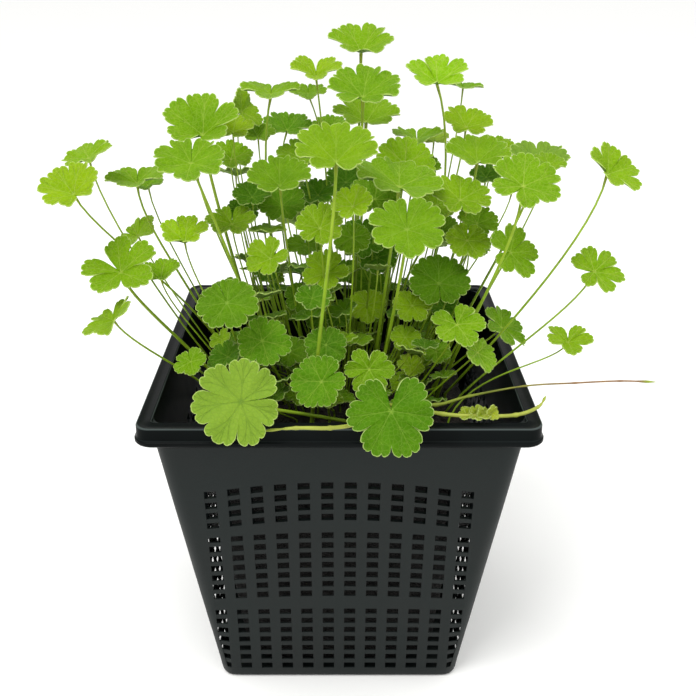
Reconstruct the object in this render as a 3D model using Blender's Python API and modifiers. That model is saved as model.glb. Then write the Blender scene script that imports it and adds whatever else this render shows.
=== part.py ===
"""Marsh pennywort in a square mesh pond basket.

+Z is up. The origin is on the table under the middle of the basket, and -Y is its front.
The basket is one moulding, the root ball stands in it, and every leaf is one piece with its stalk.
Lengths are in millimetres until they reach a mesh, where MM turns them to metres.
"""

import math
from typing import NamedTuple

import bmesh
import bpy
import numpy as np
from mathutils import Matrix, Vector

MM = 0.001

# Basket
RIM_WIDTH = 112.0
LIP_TOP_WIDTH = 111.0
BASE_WIDTH = 77.2
WALL_TOP_WIDTH = 104.0
HEIGHT = 102.5
LIP_HEIGHT = 6.0
LIP_SHOULDER = 0.6
WALL = 1.3
WALL_SLOPE = (WALL_TOP_WIDTH - BASE_WIDTH) / 2 / (HEIGHT - LIP_HEIGHT)
CORNER_RADIUS = 5.0
LIP_CORNER_RADIUS = 4.0
FOOT_RADIUS = 2.5
MOUTH_INSET = WALL + 0.2
MOUTH_OVERRUN = 2.0

# Mesh of the walls: each column of holes is one slot in every band (bottom, top, number of columns)
COLUMN_PITCH = 6.7
SLOT_WIDTH = 3.5
SLOT_BANDS = ((4.6, 31.6, 10), (37.0, 63.4, 12), (68.0, 82.0, 12))
FLOOR_SLOT_LENGTH = 20.0
FLOOR_SLOT_OUT = 19.0
FLOOR_SLOTS = 6

# Root ball
SOIL_TOP = 88.0
SOIL_DROP = 5.0
SOIL_SHOULDER = 6.0
SOIL_BASE_HALF = 33.0
SOIL_TOP_HALF = 41.4
SOIL_CORNER = 16.0
GAP = 0.3

# Eye of the reference view. A leaf's hub lies on the line of sight through its pixel in that view.
EYE = np.array((0.0, -279.0, 227.3))
EYE_PITCH = math.radians(24.3)
FOCAL = 948.0
MIDDLE_COLUMN = 339.0
MIDDLE_ROW = 348.0

# Leaves
BLADE_THICKNESS = 0.5
CLEFT = math.radians(16)
HUB_OFFSET = 0.25
STALK_RADIUS = 0.6
STALK_TOP_RADIUS = 0.45
STALK_STEPS = 4
STALK_RISE = 0.22
UPRIGHT_SHARE = 0.6
UPRIGHT_REACH = 60.0
BLADE_SPACE = 1.1
STALK_TO_BLADE = 1.35
STALK_TO_STALK = 1.9
ROOT_SHARE = 0.6
ROOT_LIMIT = 35.5
ROOT_RADIUS = 45.0
ROOT_RING = 2.8
ROOT_RINGS = 9
ROOT_LIFT = 0.8
BOWS = (0.26, 0.14, 0.4)
SWAYS = (0.0, 5.0, 10.0, 16.0)

# Runners
RUNNER_RADIUS = 0.75
BUD_RADIUS = 1.5
RUNNER_RISE = 13.0
RUNNER_LEAN = 5.0

# Crowns, where the stalks of a tuft meet
CROWN_RADIUS = 2.4
CROWN_FLATNESS = 0.6
CROWN_SPREAD = 1.0

COLOURS = {
    "bright": "#8CC020",
    "fresh": "#6BA31A",
    "deep": "#477D10",
    "pale": "#85AA45",
    "runner": "#A6AE4A",
    "basket": "#2B3032",
    "soil": "#2A2018",
}


class Leaf(NamedTuple):
    """One leaf, as it was read off the reference view.

    across and down are the pixel of its hub, and back is how far that hub is behind the basket's
    middle, in mm. span is the blade's length in mm. The blade tips by lean degrees towards the
    compass heading toward, and its middle lobe points along the heading tip (0 front, 90 right,
    180 back, -90 left). cup and fold raise its edge, as shares of its radius. root is where the
    stalk leaves the soil, x and y in mm, for a stalk that doesn't take the way nearest to it.
    """

    across: float
    down: float
    back: float
    span: float
    lean: float
    toward: float
    tip: float
    cup: float
    fold: float
    lobes: int
    notch: float
    tone: str
    root: tuple = ()


LEFT_LEAVES = (
    Leaf(89, 159, 0, 18.5, 20, -60, 170, 0.20, 0.05, 6, 0.25, "fresh"),
    Leaf(74, 195, -12, 19.5, 32, -15, -150, 0.45, 0.05, 7, 0.22, "bright"),
    Leaf(137, 184, 8, 21, 8, -30, 0, 0.32, 0.05, 5, 0.25, "fresh"),
    Leaf(185, 243, -8, 16.5, 16, 0, 175, 0.62, 0.05, 5, 0.34, "bright"),
    Leaf(161, 279, -8, 14.5, 12, -30, 170, 0.45, 0.10, 5, 0.30, "fresh"),
    Leaf(121, 273, -15, 26, 30, -10, 45, 0.32, 0.12, 5, 0.42, "fresh"),
    Leaf(138, 236, 12, 17, 30, -60, 60, 0.20, 0.10, 5, 0.25, "pale"),
    Leaf(114, 321, -30, 19, 32, -75, 0, 0.15, 0.20, 5, 0.35, "fresh"),
)

TOP_LEAVES = (
    Leaf(203, 136, 12, 26, 30, -5, 175, 0.55, 0.05, 5, 0.35, "bright"),
    Leaf(191, 164, -5, 23.5, 24, 0, 0, 0.25, 0.05, 7, 0.20, "bright"),
    Leaf(231, 160, 26, 15.5, 26, 20, 150, 0.30, 0.05, 6, 0.20, "fresh"),
    Leaf(271, 95, 20, 21, 5, 0, 0, 0.15, 0.20, 5, 0.25, "fresh"),
    Leaf(316, 77, 25, 18.5, 18, 0, 0, 0.40, 0.20, 5, 0.42, "bright"),
    Leaf(361, 53, 44, 24, 18, 5, 180, 0.45, 0.05, 6, 0.30, "bright"),
    Leaf(363, 98, 7, 25, 20, 0, 170, 0.38, 0.00, 7, 0.25, "bright"),
    Leaf(366, 123, 29, 24, 14, 10, 180, 0.35, 0.05, 6, 0.25, "fresh"),
    Leaf(437, 84, 15, 21, 22, 0, 180, 0.45, 0.05, 5, 0.45, "bright"),
    Leaf(466, 128, 34, 18.5, 24, 15, 180, 0.32, 0.05, 6, 0.25, "fresh"),
    Leaf(417, 140, 35, 18.5, 5, 0, 0, 0.15, 0.28, 5, 0.25, "fresh"),
)

MIDDLE_LEAVES = (
    Leaf(336, 163, -18, 26, 22, 0, 180, 0.46, 0.00, 7, 0.20, "bright"),
    Leaf(301, 158, 18, 19, 22, -30, 150, 0.20, 0.05, 6, 0.22, "fresh"),
    Leaf(399, 188, -8, 30, 12, 50, 180, 0.22, 0.05, 7, 0.15, "bright"),
    Leaf(405, 165, 14, 21.5, 34, 10, 180, 0.20, 0.00, 7, 0.12, "fresh"),
    Leaf(407, 230, -25, 24.5, 33, 0, 0, 0.28, 0.04, 7, 0.20, "bright"),
    Leaf(280, 187, 0, 21.5, 20, -10, 180, 0.44, 0.05, 7, 0.18, "fresh"),
    Leaf(232, 225, 5, 17.5, 22, 0, 0, 0.36, 0.05, 6, 0.30, "deep"),
    Leaf(282, 206, 14, 17.5, 38, 0, 180, 0.20, 0.00, 7, 0.12, "deep"),
    Leaf(271, 259, -12, 16, 42, -30, -60, 0.30, 0.10, 5, 0.35, "bright"),
    Leaf(320, 229, -14, 16.5, 40, -10, 160, 0.25, 0.05, 7, 0.20, "bright"),
    Leaf(353, 207, -20, 13.5, 38, -15, 180, 0.30, 0.05, 6, 0.20, "fresh"),
    Leaf(467, 241, -5, 15.5, 40, 10, 0, 0.18, 0.05, 6, 0.20, "deep"),
    Leaf(460, 201, -12, 21, 24, 20, 180, 0.20, 0.05, 7, 0.18, "fresh"),
    Leaf(439, 284, -8, 21, 40, 0, 180, 0.12, 0.00, 7, 0.08, "deep"),
    Leaf(367, 305, 4, 14.5, 40, 0, 0, 0.10, 0.05, 7, 0.12, "deep"),
)

RIGHT_LEAVES = (
    Leaf(523, 187, -15, 24, 32, 10, 150, 0.18, 0.05, 6, 0.32, "bright"),
    Leaf(477, 163, 8, 22.5, 14, 10, 180, 0.40, 0.05, 7, 0.18, "fresh"),
    Leaf(538, 165, 26, 23, 12, 20, 180, 0.32, 0.05, 6, 0.22, "pale"),
    Leaf(510, 253, -10, 20, 46, 30, 105, 0.15, 0.05, 5, 0.42, "fresh"),
    Leaf(594, 272, -10, 19.5, 34, 20, 110, 0.15, 0.05, 6, 0.40, "bright", (33, -20)),
    Leaf(568, 343, -22, 16, 14, 0, 0, 0.25, 0.22, 5, 0.40, "bright", (32, -32)),
    Leaf(607, 175, -5, 20.5, 38, 45, 120, 0.40, 0.05, 5, 0.40, "bright", (34, -8)),
    Leaf(501, 328, -4, 19, 36, 60, 90, 0.15, 0.05, 6, 0.36, "fresh"),
)

FRONT_LEAVES = (
    Leaf(241, 402, -59, 27, 60, 5, -75, 0.06, 0.00, 7, 0.20, "pale", (14, -33)),
    Leaf(391, 411, -59, 26.5, 60, 0, 0, 0.08, 0.00, 6, 0.24, "bright"),
    Leaf(369, 369, -38, 16, 60, 0, 0, 0.18, 0.00, 6, 0.34, "bright"),
    Leaf(322, 382, -42, 18.5, 46, -20, -60, 0.15, 0.10, 6, 0.20, "bright"),
    Leaf(326, 345, -28, 14.5, 45, 0, 0, 0.15, 0.05, 7, 0.14, "fresh"),
    Leaf(262, 341, -30, 18, 44, 10, 40, 0.12, 0.05, 6, 0.18, "deep"),
    Leaf(227, 303, -32, 19.5, 38, 0, 20, 0.10, 0.00, 7, 0.14, "fresh"),
    Leaf(457, 325, -34, 18, 26, 0, 20, 0.12, 0.05, 5, 0.30, "bright"),
    Leaf(477, 353, -42, 14.5, 40, 60, 60, 0.05, 0.10, 6, 0.18, "fresh"),
)

LEAVES = LEFT_LEAVES + TOP_LEAVES + MIDDLE_LEAVES + RIGHT_LEAVES + FRONT_LEAVES


class Tuft(NamedTuple):
    """Leaves that share one crown on the soil, with the crown's x and y in mm."""

    crown: tuple
    leaves: tuple


# Behind the leaves of the reference view
REAR_TUFTS = (
    Tuft((-26, 24), (
        Leaf(196, 160, 46, 19, 16, 150, 150, 0.30, 0.05, 6, 0.20, "fresh"),
        Leaf(236, 176, 52, 17, 20, 180, 170, 0.28, 0.05, 7, 0.16, "fresh"),
        Leaf(240, 226, 34, 14, 24, -150, 0, 0.25, 0.05, 6, 0.20, "deep"),
        Leaf(222, 292, 22, 18, 26, -100, -90, 0.20, 0.05, 6, 0.22, "deep"),
        Leaf(252, 262, 44, 16, 34, 170, 150, 0.20, 0.05, 7, 0.14, "deep"),
    )),
    Tuft((-9, 33), (
        Leaf(284, 192, 60, 19, 22, 180, 180, 0.30, 0.05, 6, 0.20, "fresh"),
        Leaf(304, 166, 58, 17, 12, 150, 160, 0.30, 0.05, 6, 0.22, "fresh"),
        Leaf(287, 131, 45, 18.5, 18, 20, 180, 0.32, 0.05, 6, 0.25, "fresh"),
        Leaf(308, 94, 42, 14, 14, 0, 0, 0.20, 0.10, 5, 0.20, "fresh"),
        Leaf(305, 246, 40, 15, 20, 0, 0, 0.20, 0.05, 7, 0.12, "deep"),
        Leaf(296, 222, 66, 18, 36, 180, 180, 0.20, 0.05, 7, 0.16, "fresh"),
        Leaf(282, 272, 58, 15, 40, -170, 170, 0.20, 0.05, 6, 0.18, "deep"),
    )),
    Tuft((11, 33), (
        Leaf(352, 208, 58, 18, 26, 180, 180, 0.28, 0.05, 6, 0.20, "fresh"),
        Leaf(398, 184, 50, 20, 16, 170, 170, 0.30, 0.05, 7, 0.18, "fresh"),
        Leaf(404, 226, 62, 19, 34, 175, 180, 0.22, 0.05, 7, 0.14, "deep"),
        Leaf(360, 250, 36, 14, 18, 0, 0, 0.18, 0.05, 7, 0.12, "deep"),
        Leaf(352, 238, -4, 13, 42, 0, 0, 0.15, 0.00, 7, 0.10, "deep"),
        Leaf(336, 276, 46, 15, 30, 180, 180, 0.20, 0.05, 6, 0.18, "deep"),
    )),
    Tuft((27, 23), (
        Leaf(462, 208, 46, 18, 20, 150, 150, 0.28, 0.05, 6, 0.20, "fresh"),
        Leaf(442, 272, 38, 16, 28, 160, 150, 0.22, 0.05, 7, 0.14, "deep"),
        Leaf(512, 192, 44, 17, 18, 130, 130, 0.28, 0.05, 6, 0.24, "fresh"),
        Leaf(463, 88, 46, 15, 6, 90, 0, 0.15, 0.10, 5, 0.25, "pale"),
        Leaf(470, 246, 26, 15, 24, 60, 60, 0.22, 0.05, 6, 0.18, "deep"),
        Leaf(436, 244, 58, 17, 36, 165, 160, 0.22, 0.05, 7, 0.16, "deep"),
    )),
)

# Runners: the root on the soil, then the way by pixel and distance behind the basket's middle
LONG_RUNNER = (
    (19, -34),
    ((436, 405, -41), (470, 396, -38), (525, 386, -33), (575, 383, -32), (620, 381, -31), (656, 382, -31)),
)
RIM_RUNNER = (
    (12.5, -36),
    ((443, 414, -51), (478, 416, -51.5), (516, 415, -51), (538, 407, -47), (546, 396, -45)),
)
FRONT_RUNNER = (
    (5, -34),
    ((372, 415, -51), (356, 424, -56), (330, 428, -58.5), (296, 428, -58.5), (262, 431, -58)),
)
RUNNERS = (LONG_RUNNER, RIM_RUNNER, FRONT_RUNNER)


def compass(heading):
    """Level unit vector along a compass heading in degrees."""
    angle = math.radians(heading)
    return np.array((math.sin(angle), -math.cos(angle), 0.0))


def sight(across, down, back):
    """Point on the line of sight through a pixel, back mm behind the basket's middle."""
    forward = np.array((0.0, math.cos(EYE_PITCH), -math.sin(EYE_PITCH)))
    below = np.array((0.0, -math.sin(EYE_PITCH), -math.cos(EYE_PITCH)))
    right = np.array((1.0, 0.0, 0.0))
    line = forward + right * (across - MIDDLE_COLUMN) / FOCAL + below * (down - MIDDLE_ROW) / FOCAL
    return EYE + line * (back - EYE[1]) / line[1]


class Blade:
    """A leaf blade in place: its hub, its own axes and its curved surface."""

    def __init__(self, leaf, back):
        self.leaf = leaf
        self.radius = leaf.span / 2
        self.hub = sight(leaf.across, leaf.down, back)
        lean = math.radians(leaf.lean)
        normal = np.array((0.0, 0.0, math.cos(lean))) + compass(leaf.toward) * math.sin(lean)
        along = compass(leaf.tip) - normal * (compass(leaf.tip) @ normal)
        along /= np.linalg.norm(along)
        self.axes = np.stack((along, np.cross(normal, along), normal))

    def reach(self, turn):
        """Outline radius, in radii, at an angle from the middle lobe."""
        half = math.pi - CLEFT / 2
        place = np.clip((turn + half) / (2 * half), 0, 1) * self.leaf.lobes
        notch = self.leaf.notch * np.exp(-(((place - np.round(place)) / 0.16) ** 2))
        return (1 - notch) * (1 - HUB_OFFSET * (turn / math.pi) ** 2)

    def rise(self, x, y):
        """Height of the surface over the hub at x along and y across the middle lobe, in radii."""
        reach = np.hypot(x, y)
        side = np.abs(y)
        return self.leaf.cup * reach * (1.4 - 0.4 * reach) + self.leaf.fold * side * (1.3 - 0.3 * side)

    def local(self, turn, share):
        """Point of the middle surface at a share of the outline radius, on the blade's own axes."""
        radius = share * self.reach(turn)
        x, y = radius * np.cos(turn), radius * np.sin(turn)
        return np.stack((x, y, self.rise(x, y)), axis=-1) * self.radius

    def samples(self):
        """Points all over the blade, for measuring the space to its neighbours."""
        turns = np.linspace(-math.pi, math.pi, 41)[:-1]
        local = np.concatenate([self.local(turns, share) for share in (1.0, 0.8, 0.6, 0.35, 0.1)])
        return self.hub + local @ self.axes

    def space(self, points):
        """Distance of each point from the blade, taken as a full disc."""
        local = (points - self.hub) @ self.axes.T / self.radius
        reach = np.hypot(local[..., 0], local[..., 1])
        inward = 1.0 / np.maximum(reach, 1.0)
        over = local[..., 2] - self.rise(local[..., 0] * inward, local[..., 1] * inward)
        return np.hypot(np.maximum(reach - 1.0, 0.0), over) * self.radius


def clear_of_basket(points, margin):
    """Whether each point keeps a margin to the basket's wall and rim."""
    out = np.maximum(np.abs(points[..., 0]), np.abs(points[..., 1]))
    inner = BASE_WIDTH / 2 + WALL_SLOPE * points[..., 2] - WALL
    return (out < inner - margin) | (points[..., 2] > HEIGHT + margin) | (out > RIM_WIDTH / 2 + margin)


def place_blades(leaves):
    """Set the blades one by one, each moved along its line of sight until it is clear of the others."""
    blades = []
    for leaf in leaves:
        best, best_space = Blade(leaf, leaf.back), -1.0
        for step in range(25):
            shift = 1.5 * ((step + 1) // 2) * (1 if step % 2 else -1)
            blade = Blade(leaf, leaf.back + shift)
            points = blade.samples()
            if not clear_of_basket(points, BLADE_SPACE).all():
                continue
            spaces = [min(b.space(points).min(), blade.space(b.samples()).min()) for b in blades]
            space = min(spaces, default=99.0)
            if space > best_space:
                best, best_space = blade, space
            if space > BLADE_SPACE:
                break
        blades.append(best)
    return blades


def between(points, lines):
    """Distance of each point to the nearest straight stretch of the lines."""
    start = np.concatenate([line[:-1] for line in lines])
    step = np.concatenate([line[1:] - line[:-1] for line in lines])
    offset = points[..., None, :] - start
    share = np.clip((offset * step).sum(-1) / (step * step).sum(-1), 0, 1)
    return np.linalg.norm(offset - share[..., None] * step, axis=-1).min(-1)


def stalk_line(blade, root, bow, sway):
    """A stalk from its root on the soil to the blade's hub: a cubic curve, read at a few points."""
    foot = np.array((root[0], root[1], SOIL_TOP + ROOT_LIFT))
    length = np.linalg.norm(blade.hub - foot)
    low = foot + sway + (0.0, 0.0, bow * length) + (blade.hub - foot) * (0.2, 0.2, 0.0)
    upright = UPRIGHT_SHARE * np.clip((blade.hub[2] - HEIGHT) / UPRIGHT_REACH, 0, 1)
    heading = (1 - upright) * blade.axes[2] + (0.0, 0.0, upright)
    high = blade.hub + 0.6 * sway - heading / np.linalg.norm(heading) * STALK_RISE * length
    t = np.linspace(0, 1, STALK_STEPS + 1)[:, None]
    return (1 - t) ** 3 * foot + 3 * (1 - t) ** 2 * t * low + 3 * (1 - t) * t**2 * high + t**3 * blade.hub


def root_ring(blade, ring):
    """Places on the soil to try for a root, ring by ring around its natural one."""
    natural = np.array(blade.leaf.root or blade.hub[:2] * ROOT_SHARE, dtype=float)
    natural /= max(1.0, np.abs(natural).max() / ROOT_LIMIT, np.hypot(*natural) / ROOT_RADIUS)
    turns = np.radians(np.arange(0, 360, 45) + 20 * ring) if ring else np.zeros(1)
    roots = natural + ROOT_RING * ring * np.stack((np.cos(turns), np.sin(turns)), axis=-1)
    return [root for root in roots if np.abs(root).max() <= ROOT_LIMIT and np.hypot(*root) <= ROOT_RADIUS]


def crown_ring(crown, ring):
    """Places in a crown to try for a root."""
    turns = np.radians(np.arange(0, 360, 90) + 25 * ring)
    return list(np.array(crown) + CROWN_SPREAD * np.stack((np.cos(turns), np.sin(turns)), axis=-1))


def read_lines(lines, count):
    """Evenly spread points on a stack of lines of straight stretches."""
    t = np.linspace(0, lines.shape[1] - 1, count)
    whole = np.minimum(t.astype(int), lines.shape[1] - 2)
    return lines[:, whole] + (lines[:, whole + 1] - lines[:, whole]) * (t - whole)[:, None]


def route_stalk(blade, others, lines, crown=None):
    """The nearest clear way for one stalk, or the clearest where none is clear."""
    best, best_room = None, -99.0
    for ring in range(ROOT_RINGS):
        tries = []
        for sway in SWAYS:
            for heading in range(0, 360, 60) if sway else (0,):
                for bow in BOWS:
                    for root in root_ring(blade, ring) if crown is None else crown_ring(crown, ring):
                        tries.append(stalk_line(blade, root, bow, sway * compass(heading)))
        if not tries:
            continue
        points = read_lines(np.array(tries), 70)
        room = np.min([other.space(points).min(-1) for other in others], axis=0) - STALK_TO_BLADE
        room = np.minimum(room, between(points, lines).min(-1) - STALK_TO_STALK)
        room = np.where(clear_of_basket(points, 1.2).all(-1), room, -99.0)
        pick = int(np.argmax(room > 0)) if (room > 0).any() else int(np.argmax(room))
        if room[pick] > best_room:
            best, best_room = tries[pick], room[pick]
        if best_room > 0:
            break
    return best, best_room


def smooth_line(points, steps):
    """Points on a smooth curve through the given ones."""
    ends = np.concatenate((2 * points[:1] - points[1:2], points, 2 * points[-1:] - points[-2:-1]))
    t = np.linspace(0, 1, steps, endpoint=False)[:, None]
    curve = []
    for a, b, c, d in zip(ends, ends[1:], ends[2:], ends[3:]):
        curve.append(b + 0.5 * t * (c - a + t * (2 * a - 5 * b + 4 * c - d + t * (3 * b - a - 3 * c + d))))
    return np.concatenate((*curve, points[-1:]))


def runner_line(root, way):
    """Centre line of a runner from the soil to its bud."""
    foot = np.array((root[0], root[1], SOIL_TOP + ROOT_LIFT))
    knee = foot + (0.0, -RUNNER_LEAN, RUNNER_RISE)
    return smooth_line(np.array((foot, knee, *(sight(*stop) for stop in way))), 2)


def linear(hex_colour):
    """Linear red, green, blue and alpha from a sRGB hex colour."""
    values = [int(hex_colour[i : i + 2], 16) / 255 for i in (1, 3, 5)]
    return (*[v / 12.92 if v <= 0.04045 else ((v + 0.055) / 1.055) ** 2.4 for v in values], 1.0)


def make_material(name, roughness):
    """A plain finish in one of the part's colours."""
    material = bpy.data.materials.new(name)
    material.use_nodes = True
    shader = material.node_tree.nodes["Principled BSDF"]
    shader.inputs["Base Color"].default_value = linear(COLOURS[name])
    shader.inputs["Roughness"].default_value = roughness
    shader.inputs["Metallic"].default_value = 0.0
    return material


def new_object(name, mesh, collection, material=None):
    """A mesh object in a collection, from a bmesh that is used up."""
    data = bpy.data.meshes.new(name)
    mesh.to_mesh(data)
    mesh.free()
    body = bpy.data.objects.new(name, data)
    collection.objects.link(body)
    if material:
        data.materials.append(material)
    return body


def make_guide(body):
    """Turn an object into one that only shapes others."""
    body.hide_render = True
    body.display_type = "WIRE"
    return body


def combine(body, other, operation):
    """Join or cut a body with another through an exact Boolean."""
    boolean = body.modifiers.new(operation.title(), "BOOLEAN")
    boolean.operation = operation
    boolean.solver = "EXACT"
    boolean.object = other


def tapered_block(half_low, half_high, low, high, corner):
    """Closed square frustum with rounded upright edges."""
    mesh = bmesh.new()
    bmesh.ops.create_cube(mesh, size=2)
    for vert in mesh.verts:
        half = half_high if vert.co.z > 0 else half_low
        vert.co = Vector((vert.co.x * half, vert.co.y * half, high if vert.co.z > 0 else low)) * MM
    uprights = [edge for edge in mesh.edges if abs(edge.verts[0].co.z - edge.verts[1].co.z) > MM]
    bmesh.ops.bevel(mesh, geom=uprights, offset=corner * MM, segments=4, profile=0.5, affect="EDGES")
    return mesh


def ends_of(mesh, top):
    """The top or the bottom faces of an upright mesh."""
    level = max(v.co.z for v in mesh.verts) if top else min(v.co.z for v in mesh.verts)
    return [face for face in mesh.faces if all(abs(v.co.z - level) < 0.01 * MM for v in face.verts)]


def slot_cutter(name, guides, turned):
    """Boxes that open the slots of two facing walls, front and back or left and right."""
    mesh = bmesh.new()
    for low, high, columns in SLOT_BANDS:
        for column in range(columns):
            x = (column - (columns - 1) / 2) * COLUMN_PITCH
            size = Matrix.Diagonal((SLOT_WIDTH * MM, 1.4 * RIM_WIDTH * MM, (high - low) * MM, 1))
            place = Matrix.Translation(Vector((x, 0, (low + high) / 2)) * MM)
            turn = Matrix.Rotation(math.pi / 2 if turned else 0, 4, "Z")
            bmesh.ops.create_cube(mesh, size=1, matrix=turn @ place @ size)
    return make_guide(new_object(name, mesh, guides))


def floor_cutter(guides):
    """Boxes that open the slots in the basket's floor, on both sides of a closed middle strip."""
    mesh = bmesh.new()
    for y in (-FLOOR_SLOT_OUT, FLOOR_SLOT_OUT):
        for slot in range(FLOOR_SLOTS):
            x = (slot - (FLOOR_SLOTS - 1) / 2) * COLUMN_PITCH
            size = Matrix.Diagonal((SLOT_WIDTH * MM, FLOOR_SLOT_LENGTH * MM, 6 * WALL * MM, 1))
            bmesh.ops.create_cube(mesh, size=1, matrix=Matrix.Translation(Vector((x, y, 0)) * MM) @ size)
    return make_guide(new_object("floor_slots", mesh, guides))


def wall_half(height):
    """Half the width between the outer faces of the walls at a height."""
    return BASE_WIDTH / 2 + WALL_SLOPE * height


def build_basket(parts, guides):
    """Tapered tub with slotted walls and floor and a square lip around its mouth."""
    tub_top = HEIGHT - LIP_SHOULDER
    mesh = tapered_block(wall_half(0), wall_half(tub_top), 0, tub_top, CORNER_RADIUS)
    bmesh.ops.delete(mesh, geom=ends_of(mesh, top=True), context="FACES_ONLY")
    foot = [edge for face in ends_of(mesh, top=False) for edge in face.edges]
    bmesh.ops.bevel(mesh, geom=foot, offset=FOOT_RADIUS * MM, segments=2, profile=0.5, affect="EDGES")
    basket = new_object("basket", mesh, parts, make_material("basket", 0.45))
    shell = basket.modifiers.new("Wall", "SOLIDIFY")
    shell.thickness = WALL * MM
    shell.offset = -1
    shell.use_even_offset = True

    low = HEIGHT - LIP_HEIGHT
    block = tapered_block(RIM_WIDTH / 2, LIP_TOP_WIDTH / 2, low, HEIGHT, LIP_CORNER_RADIUS)
    lip = new_object("lip", block, guides)
    below, above = low - MOUTH_OVERRUN, HEIGHT + MOUTH_OVERRUN
    halves = [wall_half(height) - MOUTH_INSET for height in (below, above)]
    mouth = tapered_block(*halves, below, above, CORNER_RADIUS - MOUTH_INSET)
    combine(lip, make_guide(new_object("mouth", mouth, guides)), "DIFFERENCE")
    combine(basket, make_guide(lip), "UNION")
    combine(basket, slot_cutter("slots_front_back", guides, turned=False), "DIFFERENCE")
    combine(basket, slot_cutter("slots_left_right", guides, turned=True), "DIFFERENCE")
    combine(basket, floor_cutter(guides), "DIFFERENCE")


def build_soil(parts):
    """Root ball: rounder than the basket, clear of its corners, with a sloping shoulder."""
    edge = SOIL_TOP - SOIL_DROP
    mesh = tapered_block(SOIL_BASE_HALF, SOIL_TOP_HALF, WALL + GAP, edge, SOIL_CORNER)
    plateau = ends_of(mesh, top=True)
    bmesh.ops.inset_region(mesh, faces=plateau, thickness=SOIL_SHOULDER * MM, use_even_offset=True)
    for vert in {vert for face in plateau for vert in face.verts}:
        vert.co.z = SOIL_TOP * MM
    new_object("soil", mesh, parts, make_material("soil", 0.95))


def tube(name, line, radii, guides):
    """Closed tube along a line, as a mesh with welded caps."""
    curve = bpy.data.curves.new(name, "CURVE")
    curve.dimensions = "3D"
    curve.bevel_depth = MM
    curve.bevel_resolution = 0
    curve.use_fill_caps = True
    spline = curve.splines.new("POLY")
    spline.points.add(len(line) - 1)
    for point, place, radius in zip(spline.points, line, radii):
        point.co = (*(place * MM), 1)
        point.radius = radius
    carrier = bpy.data.objects.new(name, curve)
    guides.objects.link(carrier)
    data = bpy.data.meshes.new_from_object(carrier.evaluated_get(bpy.context.evaluated_depsgraph_get()))
    bpy.data.objects.remove(carrier)
    mesh = bmesh.new()
    mesh.from_mesh(data)
    bpy.data.meshes.remove(data)
    bmesh.ops.remove_doubles(mesh, verts=mesh.verts, dist=0.01 * MM)
    return mesh


def outline_turns(leaf):
    """Angles at which a plain outline of the blade needs a corner."""
    per_lobe = 3 if leaf.notch >= 0.2 else 2
    half = math.pi - CLEFT / 2
    return np.linspace(-half, half, leaf.lobes * per_lobe + 1)


def turn_of(vert):
    """Angle of a vertex about its mesh's own upright axis."""
    return math.atan2(vert.co.y, vert.co.x)


def blade_plate(blade):
    """Thin plate lofted from a square hub to the blade's outline, on the blade's own axes."""
    turns = outline_turns(blade.leaf)
    mesh = bmesh.new()
    square = bmesh.ops.create_circle(mesh, segments=4, radius=STALK_TOP_RADIUS * MM, cap_ends=True)["verts"]
    square.sort(key=lambda vert: round(turn_of(vert) % math.tau - math.pi, 3) % math.tau)
    corners = [*square, square[0]]
    outer = [mesh.verts.new(Vector(place) * MM) for place in blade.local(turns, 1.0)]
    nearest = np.rint((turns[:-1] + turns[1:]) / math.pi + 2).astype(int)
    for number, (first, second) in enumerate(zip(outer, outer[1:])):
        if number and nearest[number] != nearest[number - 1]:
            mesh.faces.new((corners[nearest[number - 1]], first, corners[nearest[number]]))
        mesh.faces.new((corners[nearest[number]], first, second))
    bmesh.ops.recalc_face_normals(mesh, faces=mesh.faces[:])
    if sum(face.normal.z * face.calc_area() for face in mesh.faces) < 0:
        bmesh.ops.reverse_faces(mesh, faces=mesh.faces[:])
    bmesh.ops.translate(mesh, verts=mesh.verts[:], vec=(0, 0, BLADE_THICKNESS / 2 * MM))
    bmesh.ops.solidify(mesh, geom=mesh.faces[:], thickness=BLADE_THICKNESS * MM)
    return mesh


def draw_stalk(mesh, line):
    """Draw the underside of the hub out into a tapered stalk along a line that starts at the hub."""
    mesh.normal_update()
    below = [face for face in mesh.faces if face.normal.z < 0]
    face = min(below, key=lambda f: f.calc_center_median().xy.length)
    center = face.calc_center_median()
    rim = [vert.co - center for vert in face.verts]
    heading = Vector((0, 0, -1))
    widths = np.linspace(1, STALK_RADIUS / STALK_TOP_RADIUS, len(line))
    for step in range(1, len(line)):
        ahead = Vector(line[min(step + 1, len(line) - 1)] - line[step - 1]).normalized()
        turn = heading.rotation_difference(ahead)
        rim = [turn @ offset for offset in rim]
        heading = ahead
        face = bmesh.ops.extrude_discrete_faces(mesh, faces=[face])["faces"][0]
        for vert, offset in zip(face.verts, rim):
            vert.co = Vector(line[step]) * MM + offset * widths[step]
    bmesh.ops.triangulate(mesh, faces=mesh.faces[:])


def leaf_body(name, blade, line, collection, materials):
    """One leaf: a thin cupped blade with a cleft to its hub, and the stalk that it grows on."""
    mesh = blade_plate(blade)
    draw_stalk(mesh, ((line - blade.hub) @ blade.axes.T)[::-1])
    body = new_object(name, mesh, collection, materials[blade.leaf.tone])
    turn = Matrix([Vector(axis) for axis in blade.axes]).transposed().to_4x4()
    body.matrix_world = Matrix.Translation(Vector(blade.hub) * MM) @ turn
    return body


def build_tuft(name, tuft, leaves, parts, material):
    """The crown of a tuft, grown together with its leaves."""
    mesh = bmesh.new()
    bmesh.ops.create_icosphere(mesh, subdivisions=1, radius=CROWN_RADIUS * MM)
    bmesh.ops.scale(mesh, verts=mesh.verts[:], vec=(1, 1, CROWN_FLATNESS))
    crown = new_object(name, mesh, parts, material)
    crown.location = Vector((*tuft.crown, SOIL_TOP + GAP + CROWN_RADIUS * CROWN_FLATNESS)) * MM
    for leaf in leaves:
        combine(crown, make_guide(leaf), "UNION")


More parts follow.
